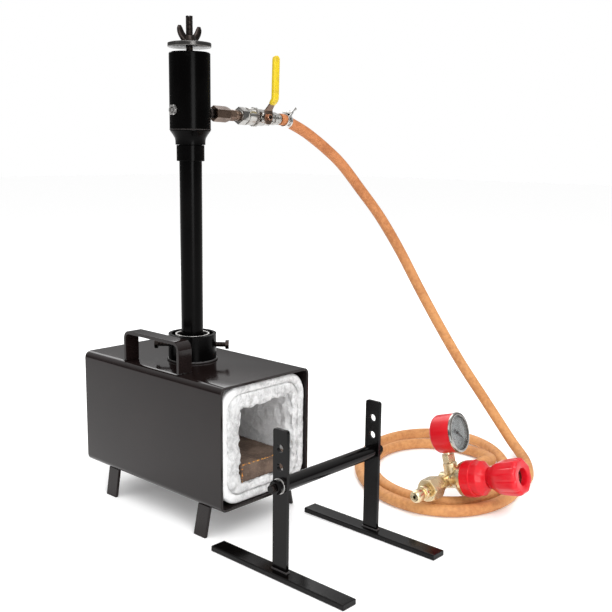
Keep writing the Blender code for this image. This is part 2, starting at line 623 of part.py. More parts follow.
def make_hose_clamp():
    """A worm clamp round the hose where it leaves the barb, already following its droop."""
    clamp_frame = frame_at("clamp_axis", (0.2057 + FORGE_X, BURNER_Y, 0.5960), (0, math.radians(15), 0))
    band = [(0.0110, 0.0055), (0.0110, -0.0055), (0.0102, -0.0055), (0.0102, 0.0055)]
    clamp = turned("hose_clamp", band, STEEL, steps=28, rotation=ALONG, parent=clamp_frame)
    wing = [(-0.0032, -0.0090), (0.0032, -0.0090), (0.0016, -0.0010), (0.0034, 0.0105), (0.0010, 0.0120),
            (-0.0030, 0.0105), (-0.0016, -0.0010)]
    join(clamp,
         block("clamp_housing", (-0.0060, -0.0056, 0.0103), (0.0048, 0.0070, 0.0178), None, parent=clamp_frame),
         rod("clamp_screw", 0.0028, (0, 0.0090, 0.0142), (0, -0.0110, 0.0142), None, sides=12, parent=clamp_frame),
         plate("clamp_wing", [wing], 0.0018, None, location=(0, -0.0100, 0.0142),
               rotation=(math.pi / 2, math.radians(28), 0), parent=clamp_frame))


# ---------------------------------------------------------------- regulator
# Local axes: +Z out through the knob, +Y up to the gauge, +X to the outlet.
REGULATOR = frame_at("regulator_centre", REGULATOR_CENTRE, (math.pi / 2 - REGULATOR_TILT, 0, REGULATOR_TURN))
GAUGE = frame_at("gauge_centre", (0, 0.0730, STEM_Z), (0, GAUGE_TURN, 0), parent=REGULATOR)
TO_OUTLET = (0, math.pi / 2, 0)
BONNET_BACK = 0.0348
BONNET_SHOULDER = 0.0744
KNOB_BACK = 0.0780
KNOB_FRONT = 0.1300


def make_regulator_body():
    barrel = [(0.0, -0.0150), (0.0095, -0.0150), (0.0130, -0.0120), (0.0140, 0.0120), (0.0175, 0.0180),
              (0.0250, 0.0262), (0.0268, 0.0275), (0.0268, 0.0300), (0.0278, 0.0305), (0.0278, BONNET_BACK - GAP),
              (0.0246, BONNET_BACK - GAP), (0.0150, 0.0255), (0.0, 0.0255)]
    body = turned("regulator_body", barrel[::-1], BRASS, ring=False, steps=32, parent=REGULATOR)
    join(body,
         rod("inlet_boss", 0.0105, (0, 0, 0), (-0.0240, 0, 0), None, parent=REGULATOR),
         rod("outlet_boss", 0.0105, (0, 0, 0), (0.0240, 0, 0), None, parent=REGULATOR),
         rod("gauge_boss", 0.0112, (0, 0, STEM_Z), (0, 0.0265, STEM_Z), None, parent=REGULATOR))
    cut(body,
        rod("gas_way", 0.0035, (-0.04, 0, 0), (0.04, 0, 0), None, sides=16, parent=REGULATOR),
        rod("gauge_way", 0.0045, (0, 0.0120, STEM_Z), (0, 0.04, STEM_Z), None, sides=16, parent=REGULATOR),
        rod("diaphragm_way", 0.0030, (0, 0, 0), (0, 0, 0.04), None, sides=16, parent=REGULATOR))
    low = BONNET_BACK
    diaphragm = [(0.0, low + 0.0010), (0.0236, low + 0.0010), (0.0236, low), (0.0, low)]
    turned("regulator_diaphragm", diaphragm, DARK_STEEL, ring=False, steps=28, parent=REGULATOR)
    top = KNOB_BACK + 0.0040
    bonnet = [(0.0135, top), (0.0135, BONNET_SHOULDER), (0.0165, BONNET_SHOULDER), (0.0176, 0.0708),
              (0.0264, 0.0634), (0.0274, 0.0614), (0.0274, 0.0520), (0.0286, 0.0510), (0.0286, low),
              (0.0248, low), (0.0248, 0.0570), (0.0062, 0.0670), (0.0062, top)]
    turned("regulator_bonnet", bonnet, RED, steps=36, parent=REGULATOR)


def make_regulator_knob():
    """The knob turns and its screw moves along with it into the bonnet."""
    screw = [(0.0, 0.1180), (0.0058, 0.1180), (0.0058, 0.0480), (0.0, 0.0480)]
    turned("adjusting_screw", screw, BRASS, ring=False, steps=16, parent=REGULATOR)
    back, front = KNOB_BACK, KNOB_FRONT
    outline = [(0.0, front), (0.0240, front), (0.0276, front - 0.0030), (0.0287, front - 0.0090),
               (0.0278, front - 0.0240), (0.0254, back + 0.0125), (0.0176, back), (0.0, back)]
    knob = turned("regulator_knob", outline, RED, ring=False, steps=8, rotation=(0, 0, math.radians(22.5)),
                  parent=REGULATOR)
    cut(knob, rod("knob_bore", 0.0062, (0, 0, 0.06), (0, 0, 0.15), None, parent=REGULATOR),
        rod("knob_recess", 0.0128, (0, 0, front - 0.0100), (0, 0, 0.15), None, parent=REGULATOR),
        rod("knob_skirt", 0.0143, (0, 0, 0.06), (0, 0, back + 0.0100), None, parent=REGULATOR))


def make_ports():
    nose = [(0.0050, 0.1000), (0.0080, 0.0985), (0.0096, 0.0940), (0.0096, 0.0850), (0.0080, 0.0830),
            (0.0080, 0.0790), (0.0108, 0.0780), (0.0108, 0.0720), (0.0080, 0.0710), (0.0080, 0.0244),
            (0.0030, 0.0244), (0.0030, 0.1000)]
    turned("inlet_nipple", nose, BRASS, steps=24, rotation=(0, -math.pi / 2, 0), parent=REGULATOR)
    nut = hexagon("inlet_nut", 0.0320, (-0.0380, 0, 0), (-0.0660, 0, 0), BRASS, parent=REGULATOR)
    shape = [(0.0, 0.0670), (0.0160, 0.0670), (0.0186, 0.0620), (0.0186, 0.0410), (0.0168, 0.0370), (0.0, 0.0370)]
    envelope = turned("inlet_nut_envelope", shape, None, ring=False, rotation=(0, -math.pi / 2, 0),
                      parent=REGULATOR)
    boolean(nut, envelope, "INTERSECT")
    cut(nut, rod("inlet_nut_bore", 0.0084, (-0.02, 0, 0), (-0.08, 0, 0), None, parent=REGULATOR))
    barb = [(0.0085, OUTLET_END), (0.0100, OUTLET_END - 0.0010), (0.0100, 0.0560), (0.0130, 0.0550),
            (0.0130, 0.0400), (0.0085, 0.0390), (0.0085, 0.0244), (0.0035, 0.0244), (0.0035, OUTLET_END)]
    turned("outlet_barb", barb, BRASS, steps=24, rotation=TO_OUTLET, parent=REGULATOR)


def make_gauge():
    """Bottom-entry gauge; its heights are local to the gauge, with the stem in the middle of the case."""
    stem = rod("gauge_stem", 0.0042, (0, 0.0140, STEM_Z), (0, 0.0300, STEM_Z), BRASS, sides=16, parent=REGULATOR)
    join(stem,
         hexagon("stem_hex", 0.0190, (0, 0.0285, STEM_Z), (0, 0.0405, STEM_Z), None, parent=REGULATOR),
         rod("stem_neck", 0.0068, (0, 0.0400, STEM_Z), (0, 0.0440, STEM_Z), None, sides=16, parent=REGULATOR))
    back, front = -0.0105, 0.0250
    floor = front - 0.0030
    case = [(0.0, floor), (0.0272, floor), (0.0272, front), (0.0303, front), (0.0303, back + 0.0060),
            (0.0285, back + 0.0020), (0.0255, back), (0.0, back)]
    body = turned("gauge_case", case, RED, ring=False, steps=36, parent=GAUGE)
    cut(body, rod("stem_clearance", 0.0071, (0, -0.0460, 0), (0, -0.0265, 0), None, sides=16, parent=GAUGE))
    bezel = [(0.0290, front + 0.0042), (0.0312, front + 0.0025), (0.0312, front + GAP), (0.0275, front + GAP),
             (0.0275, front + 0.0020), (0.0258, front + 0.0020), (0.0258, front + 0.0042)]
    turned("gauge_bezel", bezel, CHROME, steps=36, parent=GAUGE)
    dial = [(0.0, floor + 0.0010), (0.0268, floor + 0.0010), (0.0268, floor + GAP), (0.0, floor + GAP)]
    turned("gauge_dial", dial, WHITE, ring=False, steps=32, parent=GAUGE)
    needle_z = floor + 0.0022
    needle = rod("gauge_needle", 0.0028, (0, 0, needle_z - 0.0008), (0, 0, needle_z + 0.0008), DARK_STEEL,
                 sides=12, parent=GAUGE)
    hand = [(-0.0009, -0.0070), (0.0009, -0.0070), (0.0006, 0.0190), (0.0, 0.0210), (-0.0006, 0.0190)]
    join(needle, plate("needle_hand", [hand], 0.0008, None, location=(0, 0, needle_z),
                       rotation=(0, 0, NEEDLE_REST), parent=GAUGE))
    glass = [(0.0, front + 0.0017), (0.0272, front + 0.0017), (0.0272, front + 0.0005), (0.0, front + 0.0005)]
    turned("gauge_glass", glass, GLASS, ring=False, steps=32, parent=GAUGE)


# ---------------------------------------------------------------- work rest
def make_work_rest():
    middle_y = REST_NEAR + REST_LENGTH / 2
    for side, base_x, inner in (("left", REST_LEFT, 1), ("right", REST_RIGHT, -1)):
        block(f"rest_base_{side}", (base_x - FLAT_BAR / 2, REST_NEAR, 0.0),
              (base_x + FLAT_BAR / 2, REST_NEAR + REST_LENGTH, REST_BASE_THICK), BLACK,
              corner=0.0010, along="y", steps=1)
        x = base_x + inner * 0.0010
        outline = rounded_outline(-FLAT_BAR / 2, FLAT_BAR / 2, REST_BASE_THICK + GAP, REST_TOP, 0.0030, 2)
        upright = plate(f"rest_upright_{side}", [outline], FLAT_BAR_THICK, BLACK,
                        location=(x, middle_y - 0.0010, 0.0), rotation=(math.pi / 2, 0, math.pi / 2))
        for number, height in enumerate(REST_HOLES):
            cut(upright, rod(f"hole_{side}_{number}", 0.0054, (x - 0.02, middle_y - 0.0010, height),
                             (x + 0.02, middle_y - 0.0010, height), None, sides=20))
    height, y = REST_HOLES[0], middle_y - 0.0010
    left_face = REST_LEFT + 0.0010 - FLAT_BAR_THICK / 2
    right_face = REST_RIGHT - 0.0010 + FLAT_BAR_THICK / 2
    inside_left = left_face + FLAT_BAR_THICK + GAP
    inside_right = right_face - FLAT_BAR_THICK - GAP
    stud_left, stud_right = left_face - 0.0175, right_face + 0.0160
    bar = rod("rest_bar", REST_BAR_RADIUS, (inside_left, y, height), (inside_right, y, height), BLACK)
    join(bar, rod("rest_stud", 0.0050, (stud_left, y, height), (stud_right, y, height), None, sides=20))
    for side, face, out in (("left", left_face, -1), ("right", right_face, 1)):
        start = face + out * GAP
        nut = hexagon(f"rest_nut_{side}", 0.0165, (start, y, height), (start + out * 0.0105, y, height), BLACK)
        join(nut, rod(f"washer_{side}", 0.0105, (start, y, height), (start + out * 0.0020, y, height), None))
        cut(nut, rod(f"nut_bore_{side}", 0.0053, (start - out * 0.01, y, height), (start + out * 0.02, y, height),
                     None, sides=20))


make_shell()
make_lining()
make_legs()
make_handle()
make_collar()
make_burner_tubes()
make_choke()
make_gas_pipe()
make_fittings()
make_valve()
make_lever()
make_hose()
make_hose_clamp()
make_regulator_body()
make_regulator_knob()
make_ports()
make_gauge()
make_work_rest()
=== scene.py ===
import json
import math

import bmesh
import bpy
from mathutils import Matrix, Vector, noise
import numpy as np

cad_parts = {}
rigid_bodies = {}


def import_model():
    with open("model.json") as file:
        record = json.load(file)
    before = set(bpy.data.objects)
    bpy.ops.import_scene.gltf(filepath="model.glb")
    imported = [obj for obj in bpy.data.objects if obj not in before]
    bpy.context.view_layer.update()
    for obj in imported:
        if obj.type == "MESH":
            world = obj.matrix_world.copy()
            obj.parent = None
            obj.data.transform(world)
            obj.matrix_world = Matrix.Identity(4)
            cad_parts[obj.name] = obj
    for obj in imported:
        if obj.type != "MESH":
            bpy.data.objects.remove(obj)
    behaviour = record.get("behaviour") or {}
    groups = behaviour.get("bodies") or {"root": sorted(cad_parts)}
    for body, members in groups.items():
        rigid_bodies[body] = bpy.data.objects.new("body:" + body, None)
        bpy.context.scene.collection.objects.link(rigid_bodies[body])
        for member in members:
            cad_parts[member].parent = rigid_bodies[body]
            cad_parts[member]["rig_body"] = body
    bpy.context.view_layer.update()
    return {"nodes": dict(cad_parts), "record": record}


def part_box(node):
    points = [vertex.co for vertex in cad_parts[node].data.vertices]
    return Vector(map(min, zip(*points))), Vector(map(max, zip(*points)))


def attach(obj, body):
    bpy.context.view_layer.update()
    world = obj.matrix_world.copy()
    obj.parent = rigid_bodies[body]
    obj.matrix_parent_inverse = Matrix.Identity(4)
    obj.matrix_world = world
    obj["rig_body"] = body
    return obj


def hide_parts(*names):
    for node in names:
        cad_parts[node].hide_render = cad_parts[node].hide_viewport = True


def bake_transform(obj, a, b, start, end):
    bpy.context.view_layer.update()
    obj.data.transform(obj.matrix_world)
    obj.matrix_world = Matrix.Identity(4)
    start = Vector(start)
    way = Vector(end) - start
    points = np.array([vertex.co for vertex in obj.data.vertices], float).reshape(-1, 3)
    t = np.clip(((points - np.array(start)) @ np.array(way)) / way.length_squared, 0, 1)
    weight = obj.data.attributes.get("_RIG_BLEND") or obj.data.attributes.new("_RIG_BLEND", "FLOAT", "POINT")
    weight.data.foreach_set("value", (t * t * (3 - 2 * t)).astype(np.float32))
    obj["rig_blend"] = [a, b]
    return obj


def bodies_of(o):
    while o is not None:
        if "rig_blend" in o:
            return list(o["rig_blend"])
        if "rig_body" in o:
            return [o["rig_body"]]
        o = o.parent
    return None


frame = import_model()
nodes = frame["nodes"]

# ---------------------------------------------------------------- sizes, in metres
GAP = 0.0003
FORGE_X, FORGE_FRONT, FORGE_BACK = -0.050, -0.040, 0.285
SHELL_LOW, SHELL_HIGH = 0.045, 0.227
SHELL_HALF = 0.089
LINING_REACH = 0.0846               # half width of the lining inside the shell
OUTER_BLANKET = 0.0127
CHAMBER = (-0.049, 0.061, 0.077, 0.187)
BURNER_Y = 0.124
COLLAR_TOP = 0.2685
MIXING_BOTTOM = 0.5775
DISC_BOTTOM, DISC_TOP = 0.6955, 0.7025
GAS_LINE_Z, GAS_LINE_DROOP = 0.604, math.radians(1.7)
VALVE_X, BARB_END = 0.143, 0.189
HOSE_RADIUS = 0.0095
REGULATOR_CENTRE = (0.2085, -0.1870, 0.042)
REGULATOR_TILT, REGULATOR_TURN = math.radians(16.0), math.radians(3.0)
OUTLET_END, STEM_Z = 0.0750, 0.0075
GAUGE_TURN, NEEDLE_REST = math.radians(3.5), math.radians(-128)
REST_LEFT, REST_RIGHT, REST_Y = -0.149, 0.039, -0.166
REST_HOLE = 0.125

BURNER = Matrix.Translation((FORGE_X, BURNER_Y, 0.0))
GAS_LINE = BURNER @ Matrix.Translation((0, 0, GAS_LINE_Z)) @ Matrix.Rotation(GAS_LINE_DROOP, 4, "Y")
VALVE = GAS_LINE @ Matrix.Translation((VALVE_X, 0, 0))
ALONG_LINE = GAS_LINE @ Matrix.Rotation(math.pi / 2, 4, "Y")
REGULATOR = (Matrix.Translation(REGULATOR_CENTRE) @ Matrix.Rotation(REGULATOR_TURN, 4, "Z")
             @ Matrix.Rotation(math.pi / 2 - REGULATOR_TILT, 4, "X"))
GAUGE = REGULATOR @ Matrix.Translation((0, 0.0730, STEM_Z)) @ Matrix.Rotation(GAUGE_TURN, 4, "Y")
CLAMP = Matrix.Translation((0.1557, BURNER_Y, 0.5960)) @ Matrix.Rotation(math.radians(15), 4, "Y")


# ---------------------------------------------------------------- camera
def make_camera():
    camera_data = bpy.data.cameras.new("camera")
    camera = bpy.data.objects.new("camera", camera_data)
    bpy.context.scene.collection.objects.link(camera)
    camera_data.sensor_width = 36.0
    camera_data.lens = 53.08
    camera_data.shift_x = -0.00095
    camera_data.shift_y = 0.00590
    yaw, pitch, roll = math.radians(47.44), math.radians(10.10), math.radians(0.71)
    forward = Vector((math.sin(yaw) * math.cos(pitch), math.cos(yaw) * math.cos(pitch), -math.sin(pitch)))
    level = Vector((math.cos(yaw), -math.sin(yaw), 0.0))
    upward = level.cross(forward)
    right = math.cos(roll) * level + math.sin(roll) * upward
    upper = -math.sin(roll) * level + math.cos(roll) * upward
    turn = Matrix((right, upper, -forward)).transposed().to_4x4()
    camera.matrix_world = Matrix.Translation((-0.9404, -0.9334, 0.5512)) @ turn
    bpy.context.scene.camera = camera


make_camera()


# ---------------------------------------------------------------- finishes
class Amount:
    """A number inside a finish, worked on with ordinary arithmetic."""

    def __init__(self, finish, socket):
        self.finish = finish
        self.socket = socket

    def worked(self, operation, first, second):
        node = self.finish.node("ShaderNodeMath", {"operation": operation}, {0: first, 1: second})
        return Amount(self.finish, node.outputs[0])

    def __add__(self, other):
        return self.worked("ADD", self, other)

    def __radd__(self, other):
        return self.worked("ADD", other, self)

    def __sub__(self, other):
        return self.worked("SUBTRACT", self, other)

    def __rsub__(self, other):
        return self.worked("SUBTRACT", other, self)

    def __mul__(self, other):
        return self.worked("MULTIPLY", self, other)

    def __rmul__(self, other):
        return self.worked("MULTIPLY", other, self)

    def __truediv__(self, other):
        return self.worked("DIVIDE", self, other)

    def __pow__(self, other):
        return self.worked("POWER", self, other)


class Finish:
    """A painted, plated, cast or woven surface, built on one Principled shader."""

    def __init__(self, name, colour, roughness, metallic=0.0, fixed=None):
        self.material = bpy.data.materials.new(name)
        self.material.use_nodes = True
        self.tree = self.material.node_tree
        self.shader = self.tree.nodes["Principled BSDF"]
        self.shader.inputs["Base Color"].default_value = (*colour, 1.0)
        self.shader.inputs["Roughness"].default_value = roughness
        self.shader.inputs["Metallic"].default_value = metallic
        for socket, value in (fixed or {}).items():
            self.shader.inputs[socket].default_value = value
        self.place = self.node("ShaderNodeTexCoord").outputs["Object"]

    def node(self, kind, settings=None, values=None):
        node = self.tree.nodes.new(kind)
        for key, value in (settings or {}).items():
            setattr(node, key, value)
        for key, value in (values or {}).items():
            self.feed(node.inputs[key], value)
        return node

    def feed(self, socket, value):
        if isinstance(value, Amount):
            value = value.socket
        if isinstance(value, bpy.types.NodeSocket):
            self.tree.links.new(value, socket)
        else:
            socket.default_value = value

    def stretched(self, scale):
        """Object coordinates scaled by axis, so that a grain can run one way."""
        node = self.node("ShaderNodeMapping", None, {"Vector": self.place, "Scale": scale})
        return node.outputs["Vector"]

    def grain(self, scale, detail=4.0, roughness=0.55, along=None, distortion=0.0):
        vector = self.place if along is None else self.stretched(along)
        values = {"Vector": vector, "Scale": scale, "Detail": detail, "Roughness": roughness,
                  "Distortion": distortion}
        return Amount(self, self.node("ShaderNodeTexNoise", None, values).outputs["Fac"])

    def cells(self, scale, feature="F1"):
        node = self.node("ShaderNodeTexVoronoi", {"feature": feature}, {"Vector": self.place, "Scale": scale})
        return Amount(self, node.outputs["Distance"])

    def marked(self, attribute):
        node = self.node("ShaderNodeAttribute", {"attribute_name": attribute})
        return Amount(self, node.outputs["Fac"])

    def axis(self, letter):
        node = self.node("ShaderNodeSeparateXYZ", None, {0: self.place})
        return Amount(self, node.outputs["XYZ".index(letter)])

    def span(self, amount, low, high, to_low=0.0, to_high=1.0):
        """The amount eased from one span to another and held at its ends."""
        values = {"Value": amount, "From Min": low, "From Max": high, "To Min": to_low, "To Max": to_high}
        node = self.node("ShaderNodeMapRange", {"interpolation_type": "SMOOTHSTEP"}, values)
        return Amount(self, node.outputs["Result"])

    def mixed(self, share, first, second):
        values = {"Factor": share}
        node = self.node("ShaderNodeMix", {"data_type": "RGBA"}, values)
        for socket, value in zip([s for s in node.inputs if s.type == "RGBA"], (first, second)):
            self.feed(socket, (*value, 1.0) if isinstance(value, tuple) else value)
        return next(s for s in node.outputs if s.type == "RGBA")

    def colour(self, value):
        self.feed(self.shader.inputs["Base Color"], value)
        return self

    def rough(self, value):
        self.feed(self.shader.inputs["Roughness"], value)
        return self

    def bump(self, height, distance, strength=1.0):
        values = {"Height": height, "Distance": distance, "Strength": strength}
        previous = self.shader.inputs["Normal"].links
        if previous:
            values["Normal"] = previous[0].from_socket
        self.feed(self.shader.inputs["Normal"], self.node("ShaderNodeBump", None, values).outputs["Normal"])
        return self


def enamel(name, colour, roughness, specular=0.5, wear=0.06):
    """Baked or sprayed black paint: a little orange peel, dust and thin worn patches."""
    finish = Finish(name, colour, roughness, 0.0, {"Specular IOR Level": specular})
    dust = finish.span(finish.grain(9.0, 5.0), 0.42, 0.72)
    scuff = finish.span(finish.grain(55.0, 6.0, 0.65), 0.60, 0.74)
    dusty = tuple(c * 1.7 + 0.0012 for c in colour)
    finish.colour(finish.mixed(scuff * wear, finish.mixed(dust * 0.5, colour, dusty), (0.08, 0.075, 0.07)))
    finish.rough(roughness + dust * 0.05 + scuff * 0.08)
    finish.bump(finish.grain(340.0, 2.0), 0.00008, 0.25)
    finish.bump(finish.grain(26.0, 2.0), 0.0003, 0.15)
    return finish.material


def metal(name, colour, roughness, tarnish, amount=0.5, brush=None):
    """Plated or bare metal with fine tool marks and stains."""
    finish = Finish(name, colour, roughness, 1.0)
    stain = finish.span(finish.grain(60.0, 6.0, 0.62), 0.40, 0.72)
    speck = finish.span(finish.grain(420.0, 3.0), 0.56, 0.72)
    finish.colour(finish.mixed(stain * amount + speck * (amount * 0.4), colour, tarnish))
    finish.rough(roughness + stain * 0.16 + speck * 0.10)
    marks = finish.grain(260.0, 3.0, 0.5, along=brush or (1.0, 1.0, 4.0))
    finish.bump(marks, 0.00010, 0.40)
    return finish.material


def ceramic_blanket():
    finish = Finish("ceramic blanket", (0.86, 0.86, 0.85), 1.0, 0.0, {"Specular IOR Level": 0.12})
    lumps = finish.grain(70.0, 7.0, 0.68, distortion=0.6)
    strands = finish.grain(150.0, 7.0, 0.74, along=(1.0, 0.35, 0.42), distortion=1.6)
    torn_and_painted_light = finish.marked("torn_and_painted_light")
    shade = finish.span(lumps * 0.6 + strands * 0.4, 0.36, 0.60)
    grey = finish.mixed(shade, (0.46, 0.46, 0.46), (0.80, 0.80, 0.80))
    clean = finish.mixed(finish.span(lumps, 0.3, 0.6), (0.84, 0.84, 0.84), (0.93, 0.93, 0.93))
    # Fibrous grey against clean white by a point mark, which also carries painted light: the right inner wall
    # is kept clean white.
    unshaded_tone = finish.mixed(torn_and_painted_light, clean, grey)
    # Painted shade: a dark brown-grey laid over the blanket by a point mark, deep in the chamber and on the
    # back wall.
    painted_shade_tone = finish.mixed(lumps, (0.060, 0.047, 0.040), (0.20, 0.165, 0.145))
    finish.colour(finish.mixed(finish.marked("painted_shade"), unshaded_tone, painted_shade_tone))
    finish.bump(lumps, 0.004, 0.55)
    finish.bump(strands, 0.0030, 0.95)
    finish.bump(finish.grain(900.0, 3.0), 0.0005, 0.5)
    return finish.material


def fire_brick():
    finish = Finish("fire brick", (0.24, 0.14, 0.09), 0.92, 0.0, {"Specular IOR Level": 0.2})
    sand = finish.grain(380.0, 5.0, 0.7)
    patch = finish.span(finish.grain(42.0, 5.0), 0.38, 0.66)
    body = finish.mixed(patch, (0.085, 0.060, 0.047), (0.150, 0.105, 0.080))
    body = finish.mixed(finish.span(sand, 0.52, 0.70) * 0.35, body, (0.32, 0.23, 0.16))
    crumb = finish.marked("crumb")
    broken = finish.span(crumb + (finish.grain(300.0, 4.0, 0.7) - 0.5) * 1.1, 0.42, 0.56)
    ember = finish.span(finish.grain(310.0, 3.0), 0.40, 0.62)
    hot = finish.mixed(ember, (0.62, 0.20, 0.03), (0.95, 0.52, 0.08))
    finish.colour(finish.mixed(broken, body, hot))
    finish.bump(sand, 0.0006, 0.8)
    finish.bump(finish.cells(520.0), 0.0005, 0.5)
    return finish.material


def rubber_hose():
    finish = Finish("orange hose", (0.60, 0.27, 0.11), 0.55, 0.0, {"Specular IOR Level": 0.28})
    mottle = finish.grain(150.0, 5.0, 0.62)
    cloudy = finish.grain(14.0, 3.0)
    # Painted light and shade: the hose is lighter near the floor and darker higher up.
    low = finish.span(finish.axis("Z"), 0.62, 0.15)
    plain = finish.mixed(low, (0.48, 0.180, 0.068), (0.60, 0.29, 0.108))
    dark = finish.mixed(low, (0.35, 0.118, 0.040), (0.44, 0.185, 0.066))
    shade = finish.span(mottle * 0.5 + cloudy * 0.5, 0.36, 0.60)
    finish.colour(finish.mixed(shade, dark, plain))
    finish.rough(0.48 + mottle * 0.22)
    cloth = finish.grain(520.0, 2.0)
    finish.bump(cloth, 0.00018, 0.55)
    finish.bump(mottle, 0.0004, 0.30)
    return finish.material


def painted_red(name, colour, roughness, coat):
    finish = Finish(name, colour, roughness, 0.0,
                    {"Coat Roughness": 0.08, "Coat Weight": coat, "Specular IOR Level": 0.25})
    cloud = finish.grain(30.0, 4.0)
    finish.colour(finish.mixed(finish.span(cloud, 0.35, 0.68), tuple(c * 0.86 for c in colour), colour))
    finish.rough(roughness + finish.span(finish.grain(75.0, 5.0), 0.45, 0.70) * 0.14)
    finish.bump(finish.grain(300.0, 2.0), 0.00012, 0.4)
    return finish.material


def vinyl_grip():
    finish = Finish("yellow vinyl", (0.86, 0.68, 0.03), 0.36, 0.0, {"Specular IOR Level": 0.45})
    rub = finish.span(finish.grain(80.0, 5.0), 0.52, 0.72)
    finish.colour(finish.mixed(rub * 0.45, (0.60, 0.44, 0.010), (0.36, 0.22, 0.015)))
    finish.rough(0.34 + rub * 0.20)
    finish.bump(finish.grain(420.0, 2.0), 0.00015, 0.45)
    return finish.material


def dial_card():
    finish = Finish("dial card", (0.42, 0.45, 0.45), 0.55)
    # Painted shade: the white dial is given a mottled dark grey.
    finish.colour(finish.mixed(finish.span(finish.grain(60.0, 4.0), 0.3, 0.7), (0.105, 0.12, 0.12),
                               (0.19, 0.205, 0.205)))
    finish.rough(0.50 + finish.grain(200.0) * 0.12)
    finish.bump(finish.grain(700.0, 2.0), 0.00005, 0.3)
    return finish.material


def clear_glass():
    finish = Finish("gauge glass", (0.96, 0.98, 0.98), 0.03, 0.0,
                    {"IOR": 1.45, "Alpha": 0.16, "Specular IOR Level": 0.2})
    smear = finish.span(finish.grain(45.0, 4.0), 0.50, 0.72)
    finish.feed(finish.shader.inputs["Alpha"], 0.03 + smear * 0.04)
    finish.rough(0.03 + smear * 0.12)
    return finish.material


def printing_ink():
    finish = Finish("dial ink", (0.015, 0.015, 0.018), 0.5)
    finish.rough(0.45 + finish.grain(300.0) * 0.1)
    finish.colour(finish.mixed(finish.grain(300.0), (0.012, 0.012, 0.014), (0.03, 0.03, 0.03)))
    return finish.material


FINISHES = {
    "black_enamel": enamel("black enamel", (0.0082, 0.0050, 0.0047), 0.10, 0.26),
    "bright_steel": metal("bright steel", (0.66, 0.65, 0.63), 0.26, (0.34, 0.32, 0.30), 0.5),
    "dark_steel": metal("dark steel", (0.030, 0.024, 0.022), 0.28, (0.011, 0.009, 0.008), 0.6),
    "nickel_plate": metal("nickel plate", (0.42, 0.41, 0.39), 0.14, (0.13, 0.10, 0.085), 0.6),
    "pale_brass": metal("pale brass", (0.76, 0.63, 0.40), 0.25, (0.52, 0.34, 0.19), 0.4),
    "ceramic_blanket": ceramic_blanket(),
    "fire_brick": fire_brick(),
    "orange_hose": rubber_hose(),
    "red_enamel": painted_red("red enamel", (0.62, 0.0045, 0.012), 0.32, 0.15),
    "red_plastic": painted_red("red plastic", (0.62, 0.0050, 0.014), 0.28, 0.20),
    "yellow_vinyl": vinyl_grip(),
    "dial_white": dial_card(),
    "gauge_glass": clear_glass(),
}
TUBE_BLACK = enamel("tube enamel", (0.0006, 0.0005, 0.0005), 0.20, 0.05, 0.01)
STAND_BLACK = enamel("stand enamel", (0.0012, 0.0009, 0.0009), 0.15, 0.16, 0.015)
BRONZED = metal("bronzed steel", (0.17, 0.118, 0.090), 0.25, (0.055, 0.036, 0.028), 0.55)
COPPERY = metal("copper washed nut", (0.62, 0.36, 0.24), 0.22, (0.30, 0.16, 0.10), 0.5)
WELD_BLACK = enamel("painted weld", (0.014, 0.012, 0.012), 0.30, 0.6, 0.15)
INK = printing_ink()


# ---------------------------------------------------------------- making pieces
SLOT_OF = {row["node"]: row["material_slot"] for row in frame["record"]["subparts"]}


def body_of(node):
    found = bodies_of(nodes[node])
    return found if isinstance(found, str) else found[0]


def mesh_of(bm, name, matrix=None, outward=True):
    if outward:
        bmesh.ops.recalc_face_normals(bm, faces=bm.faces)
    mesh = bpy.data.meshes.new(name)
    bm.to_mesh(mesh)
    bm.free()
    if matrix is not None:
        mesh.transform(matrix)
    return mesh


def piece(name, mesh, finish, sharp=32.0):
    if sharp:
        mesh.shade_smooth()
        mesh.set_sharp_from_angle(angle=math.radians(sharp))
    mesh.materials.clear()
    mesh.materials.append(finish)
    obj = bpy.data.objects.new(name, mesh)
    bpy.context.scene.collection.objects.link(obj)
    return obj


def eased(obj, width, segments=2, angle=30.0):
    """Small round edges that catch the light."""
    bevel = obj.modifiers.new("Round edges", "BEVEL")
    bevel.limit_method = "ANGLE"
    bevel.angle_limit = math.radians(angle)
    bevel.width = width
    bevel.segments = segments
    bevel.harden_normals = True
    return obj


def stands_for(obj, *names, slot=None):
    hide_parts(*names)
    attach(obj, body_of(names[0]))
    return obj


def goes_with(obj, node):
    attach(obj, body_of(node))
    return obj


def dressed(node, width=0.0005, finish=None, segments=2, sharp=32.0):
    """A node's own shape with merged faces and eased edges."""
    bm = bmesh.new()
    bm.from_mesh(nodes[node].data)
    bmesh.ops.remove_doubles(bm, verts=bm.verts, dist=0.00001)
    bmesh.ops.dissolve_limit(bm, angle_limit=math.radians(0.8), verts=bm.verts, edges=bm.edges)
    obj = piece(node + "_piece", mesh_of(bm, node, outward=False), finish or FINISHES[SLOT_OF[node]], sharp)
    if width:
        eased(obj, width, segments, max(30.0, sharp - 2.0))
    return stands_for(obj, node)


def skinned(rings, ends="cap"):
    """Faces between rings of points; ends are capped, or the last ring meets the first."""
    bm = bmesh.new()
    rows = [[bm.verts.new(point) for point in ring] for ring in rings]
    count = len(rows[0])
    pairs = list(zip(rows, rows[1:]))
    if ends == "loop":
        pairs.append((rows[-1], rows[0]))
    for first, second in pairs:
        for i in range(count):
            j = (i + 1) % count
            bm.faces.new((first[i], first[j], second[j], second[i]))
    if ends == "cap":
        bm.faces.new(rows[0])
        bm.faces.new(rows[-1])
    return bm


def lathe(profile, steps=72, facet=None):
    """Rings about local Z; facet gives (sides, share) at each profile point for a faceted ring."""
    rings = []
    for number, (radius, height) in enumerate(profile):
        sides, share = facet[number] if facet else (0, 0.0)
        ring = []
        for step in range(steps):
            angle = 2 * math.pi * step / steps
            reach = radius
            if sides:
                half = math.pi / sides
                flat = math.cos(half) / math.cos((angle % (2 * half)) - half)
                reach = radius * (1 - share + share * min(flat, 0.992))
            ring.append(Vector((reach * math.cos(angle), reach * math.sin(angle), height)))
        rings.append(ring)
    return rings


